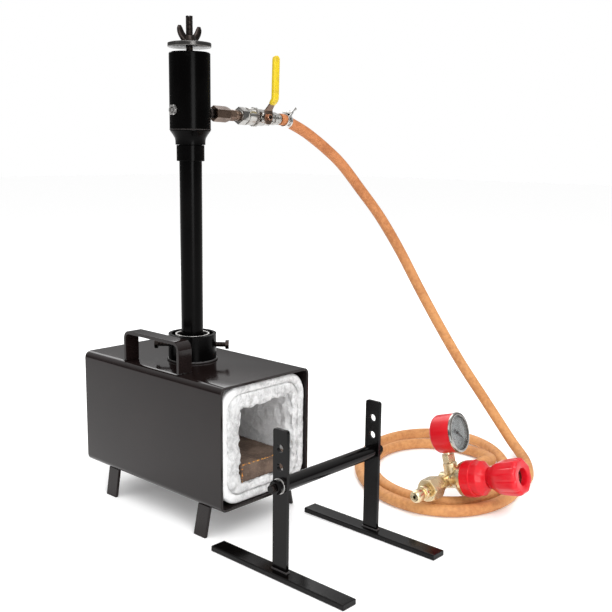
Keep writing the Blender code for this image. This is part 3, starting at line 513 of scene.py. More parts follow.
def turned(name, profile, matrix, finish, steps=72, closed=True, width=0.0004, facet=None, sharp=32.0):
    bm = skinned(lathe(profile, steps, facet), "loop" if closed else "cap")
    obj = piece(name, mesh_of(bm, name, matrix), finish, sharp)
    if width:
        eased(obj, width)
    return obj


def hex_solid(name, across, low, high, matrix, finish, bore=0.0, corner=0.86, both=True):
    """A nut or bolt head whose corners are turned off at its ends."""
    steps = 72
    flat, limit = across / 2, across / 2 * (1 + (1 / math.cos(math.pi / 6) - 1) * (1 - corner))

    def ring(edge, height, share):
        points = []
        for step in range(steps):
            angle = 2 * math.pi * step / steps
            reach = flat / math.cos((angle % (math.pi / 3)) - math.pi / 6)
            drop = max(0.0, reach - limit) * 0.6
            if edge == "rim":
                points.append(Vector((reach * math.cos(angle), reach * math.sin(angle),
                                      height - share * drop)))
            else:
                reach = min(reach, limit)
                points.append(Vector((reach * math.cos(angle), reach * math.sin(angle), height)))
        return points

    rings = []
    if both:
        rings.append(ring("face", low, 0))
    rings += [ring("rim", low, -1 if both else 0), ring("rim", high, 1), ring("face", high, 0)]
    if bore:
        for height in (high, low):
            rings.append([Vector((bore * math.cos(2 * math.pi * s / steps),
                                  bore * math.sin(2 * math.pi * s / steps),
                                  height)) for s in range(steps)])
    bm = skinned(rings, "loop" if bore else "cap")
    return eased(piece(name, mesh_of(bm, name, matrix), finish, 28.0), 0.0002)


def aimed(start, end, matrix=None):
    """A matrix whose Z runs from start to end, both in the space of another matrix."""
    start, end = Vector(start), Vector(end)
    turn = (end - start).to_track_quat("Z", "Y").to_matrix().to_4x4()
    return (matrix or Matrix.Identity(4)) @ Matrix.Translation(start) @ turn


def smooth_route(points, spacing):
    """Points at an even spacing on a Catmull-Rom curve through the route's own points."""
    knots = [Vector(p) for p in points]
    knots = [2 * knots[0] - knots[1]] + knots + [2 * knots[-1] - knots[-2]]
    dense = []
    for a, b, c, d in zip(knots, knots[1:], knots[2:], knots[3:]):
        for step in range(24):
            t = step / 24
            dense.append(0.5 * (2 * b + (c - a) * t + (2 * a - 5 * b + 4 * c - d) * t * t
                                + (3 * b - a - 3 * c + d) * t ** 3))
    dense.append(knots[-2])
    length = sum((q - p).length for p, q in zip(dense, dense[1:]))
    count = max(2, round(length / spacing))
    result = [dense[0]]
    walked = 0.0
    for p, q in zip(dense, dense[1:]):
        step = (q - p).length
        while len(result) < count and walked + step >= length * len(result) / count:
            part = (length * len(result) / count - walked) / step
            result.append(p.lerp(q, part))
        walked += step
    result.append(dense[-1])
    return result


def swept(points, radius_at, sides=20):
    """A tube's rings along points, carried without twist; radius_at takes the point's number."""
    rings = []
    ahead = (points[1] - points[0]).normalized()
    side = ahead.orthogonal().normalized()
    for number, point in enumerate(points):
        before, after = points[max(0, number - 1)], points[min(len(points) - 1, number + 1)]
        ahead = (after - before).normalized()
        side = (side - ahead * side.dot(ahead)).normalized()
        up = ahead.cross(side)
        radius = radius_at(number)
        rings.append([point + (side * math.cos(a) + up * math.sin(a)) * radius
                      for a in (2 * math.pi * s / sides for s in range(sides))])
    return rings


# ---------------------------------------------------------------- the hose
HOSE_DROP = [
    (0.1570, 0.1240, 0.5958), (0.1720, 0.1238, 0.5905), (0.1900, 0.1230, 0.5836),
    (0.2110, 0.1203, 0.5730), (0.2450, 0.1160, 0.5525), (0.2820, 0.1098, 0.5250), (0.3200, 0.0980, 0.4820),
    (0.3590, 0.0820, 0.4320), (0.3940, 0.0610, 0.3695), (0.4230, 0.0330, 0.2960), (0.4490, 0.0010, 0.2240),
    (0.4702, -0.0320, 0.1605), (0.4872, -0.0690, 0.1030), (0.4959, -0.1030, 0.0570),
    (0.4935, -0.1330, 0.0262),
    (0.4798, -0.1590, 0.0134), (0.4555, -0.1835, 0.0101), (0.4225, -0.2075, 0.0096),
    (0.3815, -0.2297, 0.0096),
]
OUTER_LOOP = {"centre": (0.3182, -0.0935), "half": (0.1921, 0.1362), "turn": 37.7}
INNER_LOOP = {"centre": (0.3040, -0.0990), "half": (0.1440, 0.1100), "turn": 44.0}
LOOP_START, LOOP_END, LOOP_STEPS = -112.0, -755.0, 40
HOSE_RISE = [
    (0.4300, -0.1060, 0.0105), (0.4080, -0.1370, 0.0160), (0.3790, -0.1600, 0.0250),
    (0.3450, -0.1740, 0.0345), (0.3150, -0.1800, 0.0405),
]


def loop_point(angle, share):
    """A point of the oval loop at an angle, going from the outer turn (0) to the inner (1)."""
    blended = {}
    for key in ("centre", "half"):
        pairs = zip(OUTER_LOOP[key], INNER_LOOP[key])
        blended[key] = [a + (b - a) * share for a, b in pairs]
    turn = math.radians(OUTER_LOOP["turn"] + (INNER_LOOP["turn"] - OUTER_LOOP["turn"]) * share)
    along = blended["half"][0] * math.cos(math.radians(angle))
    across = blended["half"][1] * math.sin(math.radians(angle))
    x = blended["centre"][0] + along * math.cos(turn) - across * math.sin(turn)
    y = blended["centre"][1] + along * math.sin(turn) + across * math.cos(turn)
    return (x, y, HOSE_RADIUS + 0.0001)


def hose_points():
    outlet = Vector((math.cos(REGULATOR_TURN), math.sin(REGULATOR_TURN), 0.0))
    barb_end = Vector(REGULATOR_CENTRE) + outlet * OUTLET_END
    along = Vector((math.cos(GAS_LINE_DROOP), 0.0, -math.sin(GAS_LINE_DROOP)))
    burner = Vector((FORGE_X, BURNER_Y, GAS_LINE_Z))
    route = [burner + along * (BARB_END + GAP), burner + along * (BARB_END + 0.008)] + HOSE_DROP
    for step in range(LOOP_STEPS):
        angle = LOOP_START + (LOOP_END - LOOP_START) * step / (LOOP_STEPS - 1)
        share = min(1.0, max(0.0, (-385.0 - angle) / 105.0))
        route.append(loop_point(angle, share * share * (3 - 2 * share)))
    route += HOSE_RISE + [barb_end + outlet * 0.008, barb_end + outlet * GAP]
    return smooth_route(route, 0.0055)


def make_hose():
    points = hose_points()
    squeezed = [p for p in range(len(points)) if abs(points[p].x - 0.1557) < 0.006 and points[p].z > 0.5]

    def radius_at(number):
        return 0.0091 if number in squeezed else 0.0093

    bm = skinned(swept(points, radius_at, 24))
    obj = piece("gas_hose_piece", mesh_of(bm, "gas_hose"), FINISHES["orange_hose"], 40.0)
    length = sum((q - p).length for p, q in zip(points, points[1:]))
    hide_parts("gas_hose", "hose_end")
    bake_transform(obj, "burner", "forge", (0.163, 0.124, 0.584), (0.163, 0.124, 0.120))
    return obj, points, length


# ---------------------------------------------------------------- repeated shapes
class Pattern:
    """A Geometry Nodes tree with named sizes, run on a holder and kept as a plain mesh."""

    def __init__(self, name, sizes):
        self.tree = bpy.data.node_groups.new(name, "GeometryNodeTree")
        self.keys = {}
        face = self.tree.interface
        face.new_socket(name="Geometry", in_out="INPUT", socket_type="NodeSocketGeometry")
        for label, (kind, value) in sizes.items():
            socket = face.new_socket(name=label, in_out="INPUT", socket_type="NodeSocket" + kind)
            socket.default_value = value
            self.keys[label] = socket.identifier
        socket = face.new_socket(name="Finish", in_out="INPUT", socket_type="NodeSocketMaterial")
        self.keys["Finish"] = socket.identifier
        face.new_socket(name="Geometry", in_out="OUTPUT", socket_type="NodeSocketGeometry")
        self.source = self.tree.nodes.new("NodeGroupInput")
        self.sink = self.tree.nodes.new("NodeGroupOutput")

    def size(self, label):
        return self.source.outputs[label]

    def node(self, kind, settings=None, values=None):
        node = self.tree.nodes.new(kind)
        for key, value in (settings or {}).items():
            setattr(node, key, value)
        for key, value in (values or {}).items():
            if isinstance(value, bpy.types.NodeSocket):
                self.tree.links.new(value, node.inputs[key])
            else:
                node.inputs[key].default_value = value
        return node

    def maths(self, operation, first, second=0.0):
        return self.node("ShaderNodeMath", {"operation": operation}, {0: first, 1: second}).outputs[0]

    def close(self, geometry):
        real = self.node("GeometryNodeRealizeInstances", None, {"Geometry": geometry})
        done = self.node("GeometryNodeSetMaterial", None,
                         {"Geometry": real.outputs["Geometry"], "Material": self.size("Finish")})
        self.tree.links.new(done.outputs["Geometry"], self.sink.inputs[0])
        return self

    def run(self, name, finish, start=None, matrix=None, **sizes):
        holder = bpy.data.objects.new(name + "_holder", start or bpy.data.meshes.new(name))
        bpy.context.scene.collection.objects.link(holder)
        mod = holder.modifiers.new("Pattern", "NODES")
        mod.node_group = self.tree
        mod[self.keys["Finish"]] = finish
        for label, value in sizes.items():
            mod[self.keys[label.replace("_", " ")]] = value
        graph = bpy.context.evaluated_depsgraph_get()
        graph.update()
        mesh = bpy.data.meshes.new_from_object(holder.evaluated_get(graph))
        bpy.data.objects.remove(holder, do_unlink=True)
        if matrix is not None:
            mesh.transform(matrix)
        return piece(name, mesh, finish, 30.0)


def thread_pattern():
    made = Pattern("screw thread", {
        "Radius": ("Float", 0.004), "Pitch": ("Float", 0.0012), "Length": ("Float", 0.02)})
    turns = made.maths("DIVIDE", made.size("Length"), made.size("Pitch"))
    spiral = made.node("GeometryNodeCurveSpiral", None, {
        "Resolution": 28, "Rotations": turns, "Start Radius": made.size("Radius"),
        "End Radius": made.size("Radius"), "Height": made.size("Length")})
    ridge = made.node("GeometryNodeCurvePrimitiveCircle", None,
                      {"Resolution": 4, "Radius": made.maths("MULTIPLY", made.size("Pitch"), 0.42)})
    thread = made.node("GeometryNodeCurveToMesh", None,
                       {"Curve": spiral.outputs[0], "Profile Curve": ridge.outputs[0], "Fill Caps": True})
    return made.close(thread.outputs[0])


def weld_pattern():
    made = Pattern("weld bead", {"Step": ("Float", 0.0022), "Radius": ("Float", 0.0018), "Seed": ("Int", 3)})
    line = made.node("GeometryNodeMeshToCurve", None, {0: made.size("Geometry")})
    even = made.node("GeometryNodeResampleCurve", None, {"Curve": line.outputs[0]})
    even.mode = "LENGTH"
    made.tree.links.new(made.size("Step"), even.inputs["Length"])
    drop = made.node("GeometryNodeMeshUVSphere", None,
                     {"Segments": 10, "Rings": 6, "Radius": made.size("Radius")})
    swell = made.node("FunctionNodeRandomValue", {"data_type": "FLOAT"}, {"Seed": made.size("Seed")})
    for socket in swell.inputs:
        if socket.type == "VALUE" and socket.name in ("Min", "Max"):
            socket.default_value = 0.86 if socket.name == "Min" else 1.12
    spots = made.node("GeometryNodeInstanceOnPoints", None, {
        "Points": even.outputs[0], "Instance": drop.outputs["Mesh"],
        "Scale": next(s for s in swell.outputs if s.type == "VALUE")})
    return made.close(spots.outputs[0])


def ring_pattern():
    made = Pattern("ring of bars", {
        "Count": ("Int", 12), "Start": ("Float", 0.0), "Sweep": ("Float", 6.283), "Radius": ("Float", 0.02),
        "Size": ("Vector", (0.001, 0.001, 0.001))})
    dots = made.node("GeometryNodePoints", None, {"Count": made.size("Count")})
    index = made.node("GeometryNodeInputIndex").outputs[0]
    last = made.maths("MAXIMUM", made.maths("SUBTRACT", made.size("Count"), 1.0), 1.0)
    angle = made.maths("ADD", made.size("Start"),
                       made.maths("MULTIPLY", made.size("Sweep"), made.maths("DIVIDE", index, last)))
    across = made.maths("MULTIPLY", made.size("Radius"), made.maths("COSINE", angle))
    upward = made.maths("MULTIPLY", made.size("Radius"), made.maths("SINE", angle))
    spot = made.node("ShaderNodeCombineXYZ", None, {0: across, 1: upward})
    turn = made.node("ShaderNodeCombineXYZ", None, {2: angle})
    moved = made.node("GeometryNodeSetPosition", None,
                      {"Geometry": dots.outputs[0], "Position": spot.outputs[0]})
    bar = made.node("GeometryNodeMeshCube", None, {"Size": made.size("Size")})
    bars = made.node("GeometryNodeInstanceOnPoints", None,
                     {"Points": moved.outputs[0], "Instance": bar.outputs["Mesh"],
                      "Rotation": turn.outputs[0]})
    return made.close(bars.outputs[0])


def fibre_pattern():
    made = Pattern("loose fibres", {
        "Density": ("Float", 60000.0), "Length": ("Float", 0.006), "Seed": ("Int", 7)})
    spots = made.node("GeometryNodeDistributePointsOnFaces", None,
                      {"Mesh": made.size("Geometry"), "Density": made.size("Density"),
                       "Seed": made.size("Seed")})
    hair = made.node("GeometryNodeMeshCone", None, {
        "Vertices": 3, "Side Segments": 2, "Radius Top": 0.00002, "Radius Bottom": 0.00016,
        "Depth": made.size("Length")})
    lean = made.node("FunctionNodeRandomValue", {"data_type": "FLOAT_VECTOR"}, {"Seed": made.size("Seed")})
    lean.inputs[0].default_value = (-1.5, -1.5, -3.1)
    lean.inputs[1].default_value = (1.5, 1.5, 3.1)
    long = made.node("FunctionNodeRandomValue", {"data_type": "FLOAT"},
                     {"Seed": made.maths("ADD", made.size("Seed"), 5)})
    for socket in long.inputs:
        if socket.type == "VALUE" and socket.name in ("Min", "Max"):
            socket.default_value = 0.35 if socket.name == "Min" else 1.0
    hairs = made.node("GeometryNodeInstanceOnPoints", None, {
        "Points": spots.outputs["Points"], "Instance": hair.outputs["Mesh"], "Rotation": lean.outputs[0],
        "Scale": next(s for s in long.outputs if s.type == "VALUE")})
    return made.close(hairs.outputs[0])


THREAD, WELD, RING, FIBRES = thread_pattern(), weld_pattern(), ring_pattern(), fibre_pattern()


def threaded(name, node, radius, pitch, length, matrix, slot, finish=None):
    obj = THREAD.run(name, finish or FINISHES[slot], matrix=matrix, Radius=radius, Pitch=pitch, Length=length)
    return goes_with(obj, node)


def welded(name, node, points, radius, closed=True, finish=None):
    """A rippled bead along points."""
    mesh = bpy.data.meshes.new(name + "_line")
    count = len(points)
    edges = [(i, i + 1) for i in range(count - 1)] + ([(count - 1, 0)] if closed else [])
    mesh.from_pydata([tuple(p) for p in points], edges, [])
    obj = WELD.run(name, finish or WELD_BLACK, start=mesh, Step=radius * 0.95, Radius=radius)
    return goes_with(obj, node)


# ---------------------------------------------------------------- body, legs, handle
def circle(radius, height, matrix=BURNER, count=64):
    return [matrix @ Vector((radius * math.cos(2 * math.pi * i / count),
                             radius * math.sin(2 * math.pi * i / count), height)) for i in range(count)]


def make_body():
    dressed("shell", 0.0007)
    dressed("rear_plate", 0.0006)
    for leg in ("leg_front_left", "leg_front_right", "leg_rear_left", "leg_rear_right"):
        dressed(leg, 0.0007)
    dressed("carry_handle", 0.0008, segments=3)
    inset = SHELL_HALF - 0.0042
    rim = []
    for x, z in ((-inset, SHELL_LOW + 0.0045), (inset, SHELL_LOW + 0.0045),
                 (inset, SHELL_HIGH - 0.0045), (-inset, SHELL_HIGH - 0.0045)):
        rim.append(Vector((FORGE_X + x, FORGE_BACK - 0.0010, z)))
    welded("rear_weld", "shell", rim, 0.00085)
    for name, low, high, side in (("near", 0.0585, 0.0605, -1), ("far", 0.1845, 0.1865, 1)):
        y = low if side < 0 else high
        line = [Vector((FORGE_X - 0.083 + 0.0245 * i / 8, y, SHELL_HIGH + 0.0012)) for i in range(9)]
        welded(f"handle_weld_{name}", "shell", line, 0.0016, closed=False)
    for end, middle in (("front", 0.0045), ("rear", 0.2225)):
        for side, sign in (("left", -1), ("right", 1)):
            x = FORGE_X + sign * 0.0772
            line = [Vector((x, middle - 0.0125 + 0.025 * i / 8, SHELL_LOW - 0.0012)) for i in range(9)]
            welded(f"leg_weld_{end}_{side}", "shell", line, 0.0012, closed=False)


# ---------------------------------------------------------------- lining
def rounded_frame(left, right, low, high, radius, side_steps=26, corner_steps=9):
    """Points round a rectangle with round corners; every such frame has the same number of them."""
    corners = ((right - radius, low + radius, -90), (right - radius, high - radius, 0),
               (left + radius, high - radius, 90), (left + radius, low + radius, 180))
    arcs = []
    for x, z, start in corners:
        arc = []
        for step in range(corner_steps + 1):
            angle = math.radians(start + 90 * step / corner_steps)
            arc.append(Vector((x + radius * math.cos(angle), z + radius * math.sin(angle))))
        arcs.append(arc)
    points = []
    for arc, following in zip(arcs, arcs[1:] + arcs[:1]):
        points += arc
        points += [arc[-1].lerp(following[0], step / side_steps) for step in range(1, side_steps)]
    return points


def fractal(point, scale, seed=0.0):
    place = Vector((point[0] * scale + seed, point[1] * scale - seed, point[2] * scale + 2 * seed))
    return noise.fractal(place, 1.0, 2.1, 5)


def blanket(name, outer, inner, front, back, settings):
    """A sleeve of blanket, seen from the front as a ring; its front and inside are lumpy and torn."""
    rings, marks, painted_shade_rows = [], [], []
    steps = settings["front_steps"]
    plan = [("out", back), ("out", (front + back) / 2), ("out", front + 0.004)]
    plan += [("face", step / steps) for step in range(steps + 1)]
    depth = back - front
    plan += [("in", front + depth * (step / 46) ** 1.6) for step in range(2, 47)]
    for kind, value in plan:
        ring, mark, painted_shade = [], [], []
        for o, i in zip(outer, inner):
            share = {"out": 0.0, "face": value, "in": 1.0}[kind]
            y = value if kind != "face" else front
            spot = o.lerp(i, share)
            place = Vector((FORGE_X + spot.x, y, spot.y))
            across = (o - i).normalized()
            lump = fractal(place, 85.0, settings["seed"])
            fine = fractal(place, 260.0, settings["seed"] + 4.0)
            if kind == "face":
                crown = (2 * share - 1) ** 4 * 0.0028
                bulge = crown + settings["rough"] * (0.55 * abs(lump) + 0.30 * fine)
                place.y = max(front + bulge, front - 0.0030)
                edge = share ** 3 * settings["ragged"] * (lump * 0.9 + fine * 0.6)
                place.x += across.x * edge
                place.z += across.y * edge
            elif kind == "in":
                near = math.exp(-(y - front) / 0.035)
                push = settings["ragged"] * (0.35 + 0.65 * near) * (lump * 0.9 + fine * 0.5)
                place.x += across.x * push
                place.z += across.y * push
            ring.append(place)
            left = min(1.0, max(0.0, (place.x - (FORGE_X - 0.066)) / 0.018))
            torn_and_painted_light = settings["torn_and_painted_light"] if settings["torn_and_painted_light"] >= 0 else left
            deep = 0.0
            if kind == "in" and settings["torn_and_painted_light"] > 0:
                # Painted light: the right wall of the inside is kept clean white instead of fibrous grey.
                right = min(1.0, max(0.0, (place.x - (FORGE_X + 0.030)) / 0.028))
                torn_and_painted_light *= 1 - 0.95 * right
                # Painted shade: darker the deeper the wall lies behind the front, and less so on the right
                # wall.
                deep = min(1.0, max(0.0, (y - front - 0.004) / 0.045)) ** 0.7
                deep *= 1 - right * min(1.0, max(0.0, 1.9 - (y - front) / 0.13))
            mark.append(torn_and_painted_light)
            painted_shade.append(deep)
        rings.append(ring)
        marks.append(mark)
        painted_shade_rows.append(painted_shade)
    bm = skinned(rings, "loop")
    mesh = mesh_of(bm, name)
    for label, rows in (("torn_and_painted_light", marks), ("painted_shade", painted_shade_rows)):
        values = [value for row in rows for value in row]
        mesh.attributes.new(label, "FLOAT", "POINT").data.foreach_set("value", values)
    return mesh


def port_cut(obj, radius):
    """Cuts the burner's way down through the top and keeps the result as a plain mesh."""
    cutter_mesh = mesh_of(skinned(lathe([(radius, 0.160), (radius, 0.245)], 40)), "port", BURNER)
    cutter = bpy.data.objects.new("port", cutter_mesh)
    bpy.context.scene.collection.objects.link(cutter)
    cut = obj.modifiers.new("Port", "BOOLEAN")
    cut.operation, cut.solver, cut.object = "DIFFERENCE", "EXACT", cutter
    graph = bpy.context.evaluated_depsgraph_get()
    graph.update()
    mesh = bpy.data.meshes.new_from_object(obj.evaluated_get(graph))
    obj.modifiers.remove(cut)
    obj.data = mesh
    bpy.data.objects.remove(cutter, do_unlink=True)
    return obj


def make_lining():
    front, back = FORGE_FRONT + 0.0040, 0.2797
    rear_front = back - 0.025
    low, high = SHELL_LOW + 0.0044, SHELL_HIGH - 0.0044
    reach, thick = LINING_REACH, OUTER_BLANKET
    outer = rounded_frame(-reach, reach, low, high, 0.034)
    middle = rounded_frame(-reach + thick, reach - thick, low + thick, high - thick, 0.0246)
    ragged_middle = rounded_frame(-reach + thick + 0.0004, reach - thick - 0.0004, low + thick + 0.0004,
                                  high - thick - 0.0004, 0.0242)
    chamber = rounded_frame(*CHAMBER, 0.0060)
    lifted = []
    for spot in chamber:
        rise = 0.5 * (spot.x - CHAMBER[0]) / (CHAMBER[1] - CHAMBER[0])
        lifted.append(Vector((spot.x, spot.y + (0.008 * rise if spot.y > 0.15 else 0.0))))
    finish = FINISHES["ceramic_blanket"]
    looks = (
        ("blanket_outer", outer, middle, front, back, {"front_steps": 8, "rough": 0.0014, "ragged": 0.0010,
                                                      "torn_and_painted_light": -1.0, "seed": 1.7}),
        ("blanket_inner", ragged_middle, lifted, front, rear_front, {"front_steps": 16, "rough": 0.0052,
                                                                     "ragged": 0.0048, "torn_and_painted_light": 1.0,
                                                                     "seed": 6.1}),
    )
    for name, big, small, near, far, settings in looks:
        obj = piece(name + "_piece", blanket(name, big, small, near, far, settings), finish, 60.0)
        port_cut(obj, 0.0268)
        stands_for(obj, name)
    fringe_line = make_fringe(ragged_middle, lifted, front)
    fringe = FIBRES.run("lining_fibres", finish, start=fringe_line, Density=140000.0, Length=0.0065, Seed=11)
    torn_and_painted_light = fringe.data.attributes.new("torn_and_painted_light", "FLOAT", "POINT")
    torn_and_painted_light.data.foreach_set("value", [0.8] * len(fringe.data.vertices))
    goes_with(fringe, "blanket_inner")
    make_rear_blanket(rear_front, back, low + thick, high - thick, reach - thick, finish)


def make_fringe(big, small, front):
    """The narrow band round the opening that loose fibres stand on."""
    verts, faces = [], []
    count = len(big)
    for share in (0.15, 0.55, 1.0):
        for o, i in zip(big, small):
            spot = o.lerp(i, share)
            verts.append((FORGE_X + spot.x, front + 0.0035, spot.y))
    for row in range(2):
        for i in range(count):
            j = (i + 1) % count
            faces.append((row * count + i, row * count + j, (row + 1) * count + j, (row + 1) * count + i))
    mesh = bpy.data.meshes.new("fringe")
    mesh.from_pydata(verts, [], faces)
    return mesh


def make_rear_blanket(front, back, low, high, half, finish):
    outline = rounded_frame(-half, half, low, high, 0.024)
    centre = Vector((0.0, (low + high) / 2))
    rings = []
    for y in (back - 0.0004, front + 0.004):
        rings.append([Vector((FORGE_X + p.x, y, p.y)) for p in outline])
    for step in range(24):
        share = 1 - step / 24
        ring = []
        for p in outline:
            spot = centre.lerp(p, share)
            place = Vector((FORGE_X + spot.x, front + 0.0004, spot.y))
            place.y += 0.0016 + 0.0022 * fractal(place, 60.0, 3.0)
            ring.append(place)
        rings.append(ring)
    mesh = mesh_of(skinned(rings), "rear_blanket")
    # The back wall is marked fibrous grey and given strong painted shade.
    for label in ("torn_and_painted_light", "painted_shade"):
        mesh.attributes.new(label, "FLOAT", "POINT").data.foreach_set("value", [0.9] * len(mesh.vertices))
    obj = stands_for(piece("rear_blanket_piece", mesh, finish, 60.0), "rear_blanket")


def make_brick():
    low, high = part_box("floor_brick")
    size = high - low
    cells = (36, 88, 12)
    bm = bmesh.new()
    bmesh.ops.create_cube(bm, size=1.0)
    bmesh.ops.subdivide_edges(bm, edges=[e for e in bm.edges if abs((e.verts[0].co - e.verts[1].co).x) > 0.5],
                              cuts=cells[0] - 1, use_grid_fill=True)
    bmesh.ops.subdivide_edges(bm, edges=[e for e in bm.edges if abs((e.verts[0].co - e.verts[1].co).y) > 0.5],
                              cuts=cells[1] - 1, use_grid_fill=True)
    bmesh.ops.subdivide_edges(bm, edges=[e for e in bm.edges if abs((e.verts[0].co - e.verts[1].co).z) > 0.5],
                              cuts=cells[2] - 1, use_grid_fill=True)
    crumbs = []
    for vert in bm.verts:
        share = vert.co + Vector((0.5, 0.5, 0.5))
        place = Vector((low.x + share.x * size.x, low.y + share.y * size.y, low.z + share.z * size.z))
        reach = [min(place[a] - low[a], high[a] - place[a]) for a in range(3)]
        nearest = sorted(reach)[1]
        worn = math.exp(-nearest / 0.0016)
        coarse, fine = abs(fractal(place, 260.0, 9.0)), abs(fractal(place, 420.0, 2.0))
        bite = worn * (0.0006 + 0.0011 * coarse) + 0.0003 * fine
        inward = Vector([(1 if place[a] - low[a] < high[a] - place[a] else -1) * (reach[a] < 0.004)
                         for a in range(3)])
        place += inward * bite
        at_front = math.exp(-(place.y - low.y) / 0.0026)
        along_top = math.exp(-(high.z - place.z) / 0.0016)
        along_left = math.exp(-(place.x - low.x) / 0.0019)
        crumbs.append(min(1.0, at_front * max(along_top, along_left) * 1.15))
        vert.co = place
    bmesh.ops.recalc_face_normals(bm, faces=bm.faces)
    mesh = bpy.data.meshes.new("floor_brick")
    bm.to_mesh(mesh)
    bm.free()
    mesh.attributes.new("crumb", "FLOAT", "POINT").data.foreach_set("value", crumbs)
    stands_for(piece("floor_brick_piece", mesh, FINISHES["fire_brick"], 50.0), "floor_brick")


# ---------------------------------------------------------------- burner
def make_burner():
    black = TUBE_BLACK
    turned_collar()
    steel = FINISHES["bright_steel"]
    profile = [(0.02635, COLLAR_TOP - 0.0005), (0.02635, 0.187), (0.0245, 0.187), (0.0180, 0.211),
               (0.0180, 0.212),
               (0.0172, 0.212), (0.0172, 0.236), (0.0238, 0.236), (0.0238, COLLAR_TOP - 0.0005)]
    stands_for(turned("burner_nozzle_piece", profile, BURNER, steel), "burner_nozzle")
    middle = 0.5432
    profile = [(0.01685, middle - GAP), (0.01685, 0.2125), (0.01365, 0.2125), (0.01365, middle - GAP)]
    stands_for(turned("burner_tube_piece", profile, BURNER, black), "burner_tube")
    profile = [(0.0207, 0.5547), (0.0207, 0.531), (0.0172, 0.531), (0.0172, 0.5547)]
    stands_for(turned("tube_coupling_piece", profile, BURNER, black, width=0.0008), "tube_coupling")
    top = MIXING_BOTTOM - GAP
    profile = [(0.0300, top), (0.0300, top - 0.002), (0.0262, 0.5700), (0.0232, 0.5650), (0.0223, 0.5610),
               (0.0222, 0.5550), (0.0169, 0.5550), (0.0169, middle), (0.0138, middle), (0.0138, 0.5600),
               (0.0270, top)]
    stands_for(turned("bell_reducer_piece", profile, BURNER, black), "bell_reducer")
    dressed("mixing_tube", 0.0006, black, sharp=40.0)
    welded("mixing_weld", "mixing_tube", circle(0.03015, MIXING_BOTTOM - 0.0002, count=96), 0.0008,
           finish=FINISHES["black_enamel"])
    welded("collar_weld", "burner_collar", circle(0.0372, SHELL_HIGH + 0.0014, count=80), 0.0018)
    dressed("gas_pipe", 0.0003, black)
    dressed("gas_jet", 0.0002)
    threaded("gas_pipe_thread", "gas_pipe", 0.0067, 0.0014, 0.011,
             ALONG_LINE @ Matrix.Translation((0, 0, 0.0360)),
             "black_enamel", FINISHES["dark_steel"])


def turned_collar():
    dressed("burner_collar", 0.0008, TUBE_BLACK, sharp=40.0)
    turn = math.radians(-47.5)
    reach = Vector((math.cos(turn), math.sin(turn), 0.0))
    for name, sign, head in (("set_screw_left", -1, 0.0585), ("set_screw_right", 1, 0.0565)):
        end = sign * reach * head + Vector((0, 0, 0.2505))
        inner = sign * reach * 0.0268 + Vector((0, 0, 0.2505))
        axis = aimed(end, inner, BURNER)
        steel = FINISHES["dark_steel"]
        length = head - 0.0268
        shank = [(0.0032, length), (0.0037, length - 0.0006), (0.0037, 0.0050), (0.0, 0.0050)]
        shank = [(0.0, length)] + shank
        bm = skinned(lathe([(max(r, 0.0001), z) for r, z in shank], 32))
        core = piece(name + "_piece", mesh_of(bm, name, axis), steel)
        stands_for(core, name)
        goes_with(hex_solid(name + "_hex", 0.013, 0.0, 0.0053, axis, steel), name)
        threaded(name + "_thread", name, 0.0035, 0.00125, length - 0.0075,
                 axis @ Matrix.Translation((0, 0, 0.0065)), "dark_steel")


def make_choke():
    dark = FINISHES["dark_steel"]
    dressed("choke_bridge", 0.0005)
    dressed("choke_rod", 0.0003)
    threaded("choke_rod_thread", "choke_rod", 0.0046, 0.0015, 0.0330,
             BURNER @ Matrix.Translation((0, 0, 0.7060)),
             "dark_steel")
    edge = 0.0010
    profile = [(0.032 - edge, DISC_TOP), (0.032, DISC_TOP - edge), (0.032, DISC_BOTTOM + edge),
               (0.032 - edge, DISC_BOTTOM), (0.0054, DISC_BOTTOM), (0.0054, DISC_TOP)]
    rubbed = metal("rubbed steel disc", (0.125, 0.120, 0.116), 0.20, (0.035, 0.032, 0.030), 0.45)
    stands_for(turned("choke_disc_piece", profile, BURNER, rubbed, 96), "choke_disc")
    make_wing_nut(dark)


def make_wing_nut(finish):
    """A cast hub with two ears that thicken into it."""
    base = DISC_TOP + GAP
    hub = [(0.0104, base), (0.0102, base + 0.0015), (0.0088, base + 0.0085), (0.0080, base + 0.0100),
           (0.0054, base + 0.0100), (0.0054, base)]
    obj = turned("wing_nut_piece", hub, BURNER, finish, 48, width=0.0003)
    stands_for(obj, "wing_nut")
    turn = math.radians(-10.5)
    line = [(0.0078, 0.0045), (0.0105, 0.0075), (0.0135, 0.0118), (0.0152, 0.0160), (0.0160, 0.0200),
            (0.0161, 0.0232)]
    widths = [0.0058, 0.0056, 0.0054, 0.0052, 0.0046, 0.0026]
    thick = [0.0036, 0.0032, 0.0028, 0.0025, 0.0022, 0.0013]
    route = smooth_route([(x, 0.0, z) for x, z in line], 0.0014)
    for side, spin in (("left", math.pi + turn), ("right", turn)):
        rings = []
        for number, spot in enumerate(route):
            share = number / (len(route) - 1) * (len(line) - 1)
            low = min(int(share), len(line) - 2)
            part = share - low
            wide = widths[low] * (1 - part) + widths[low + 1] * part
            deep = thick[low] * (1 - part) + thick[low + 1] * part
            after, before = route[min(number + 1, len(route) - 1)], route[max(number - 1, 0)]
            ahead = (after - before).normalized()
            normal = Vector((-ahead.z, 0.0, ahead.x))
            rings.append([spot + normal * wide * math.cos(a) + Vector((0, deep * math.sin(a), 0))
                          for a in (2 * math.pi * s / 20 for s in range(20))])
        matrix = BURNER @ Matrix.Translation((0, 0, base)) @ Matrix.Rotation(spin, 4, "Z")
        wing = piece(f"wing_{side}", mesh_of(skinned(rings), f"wing_{side}", matrix), finish, 60.0)
        goes_with(wing, "wing_nut")


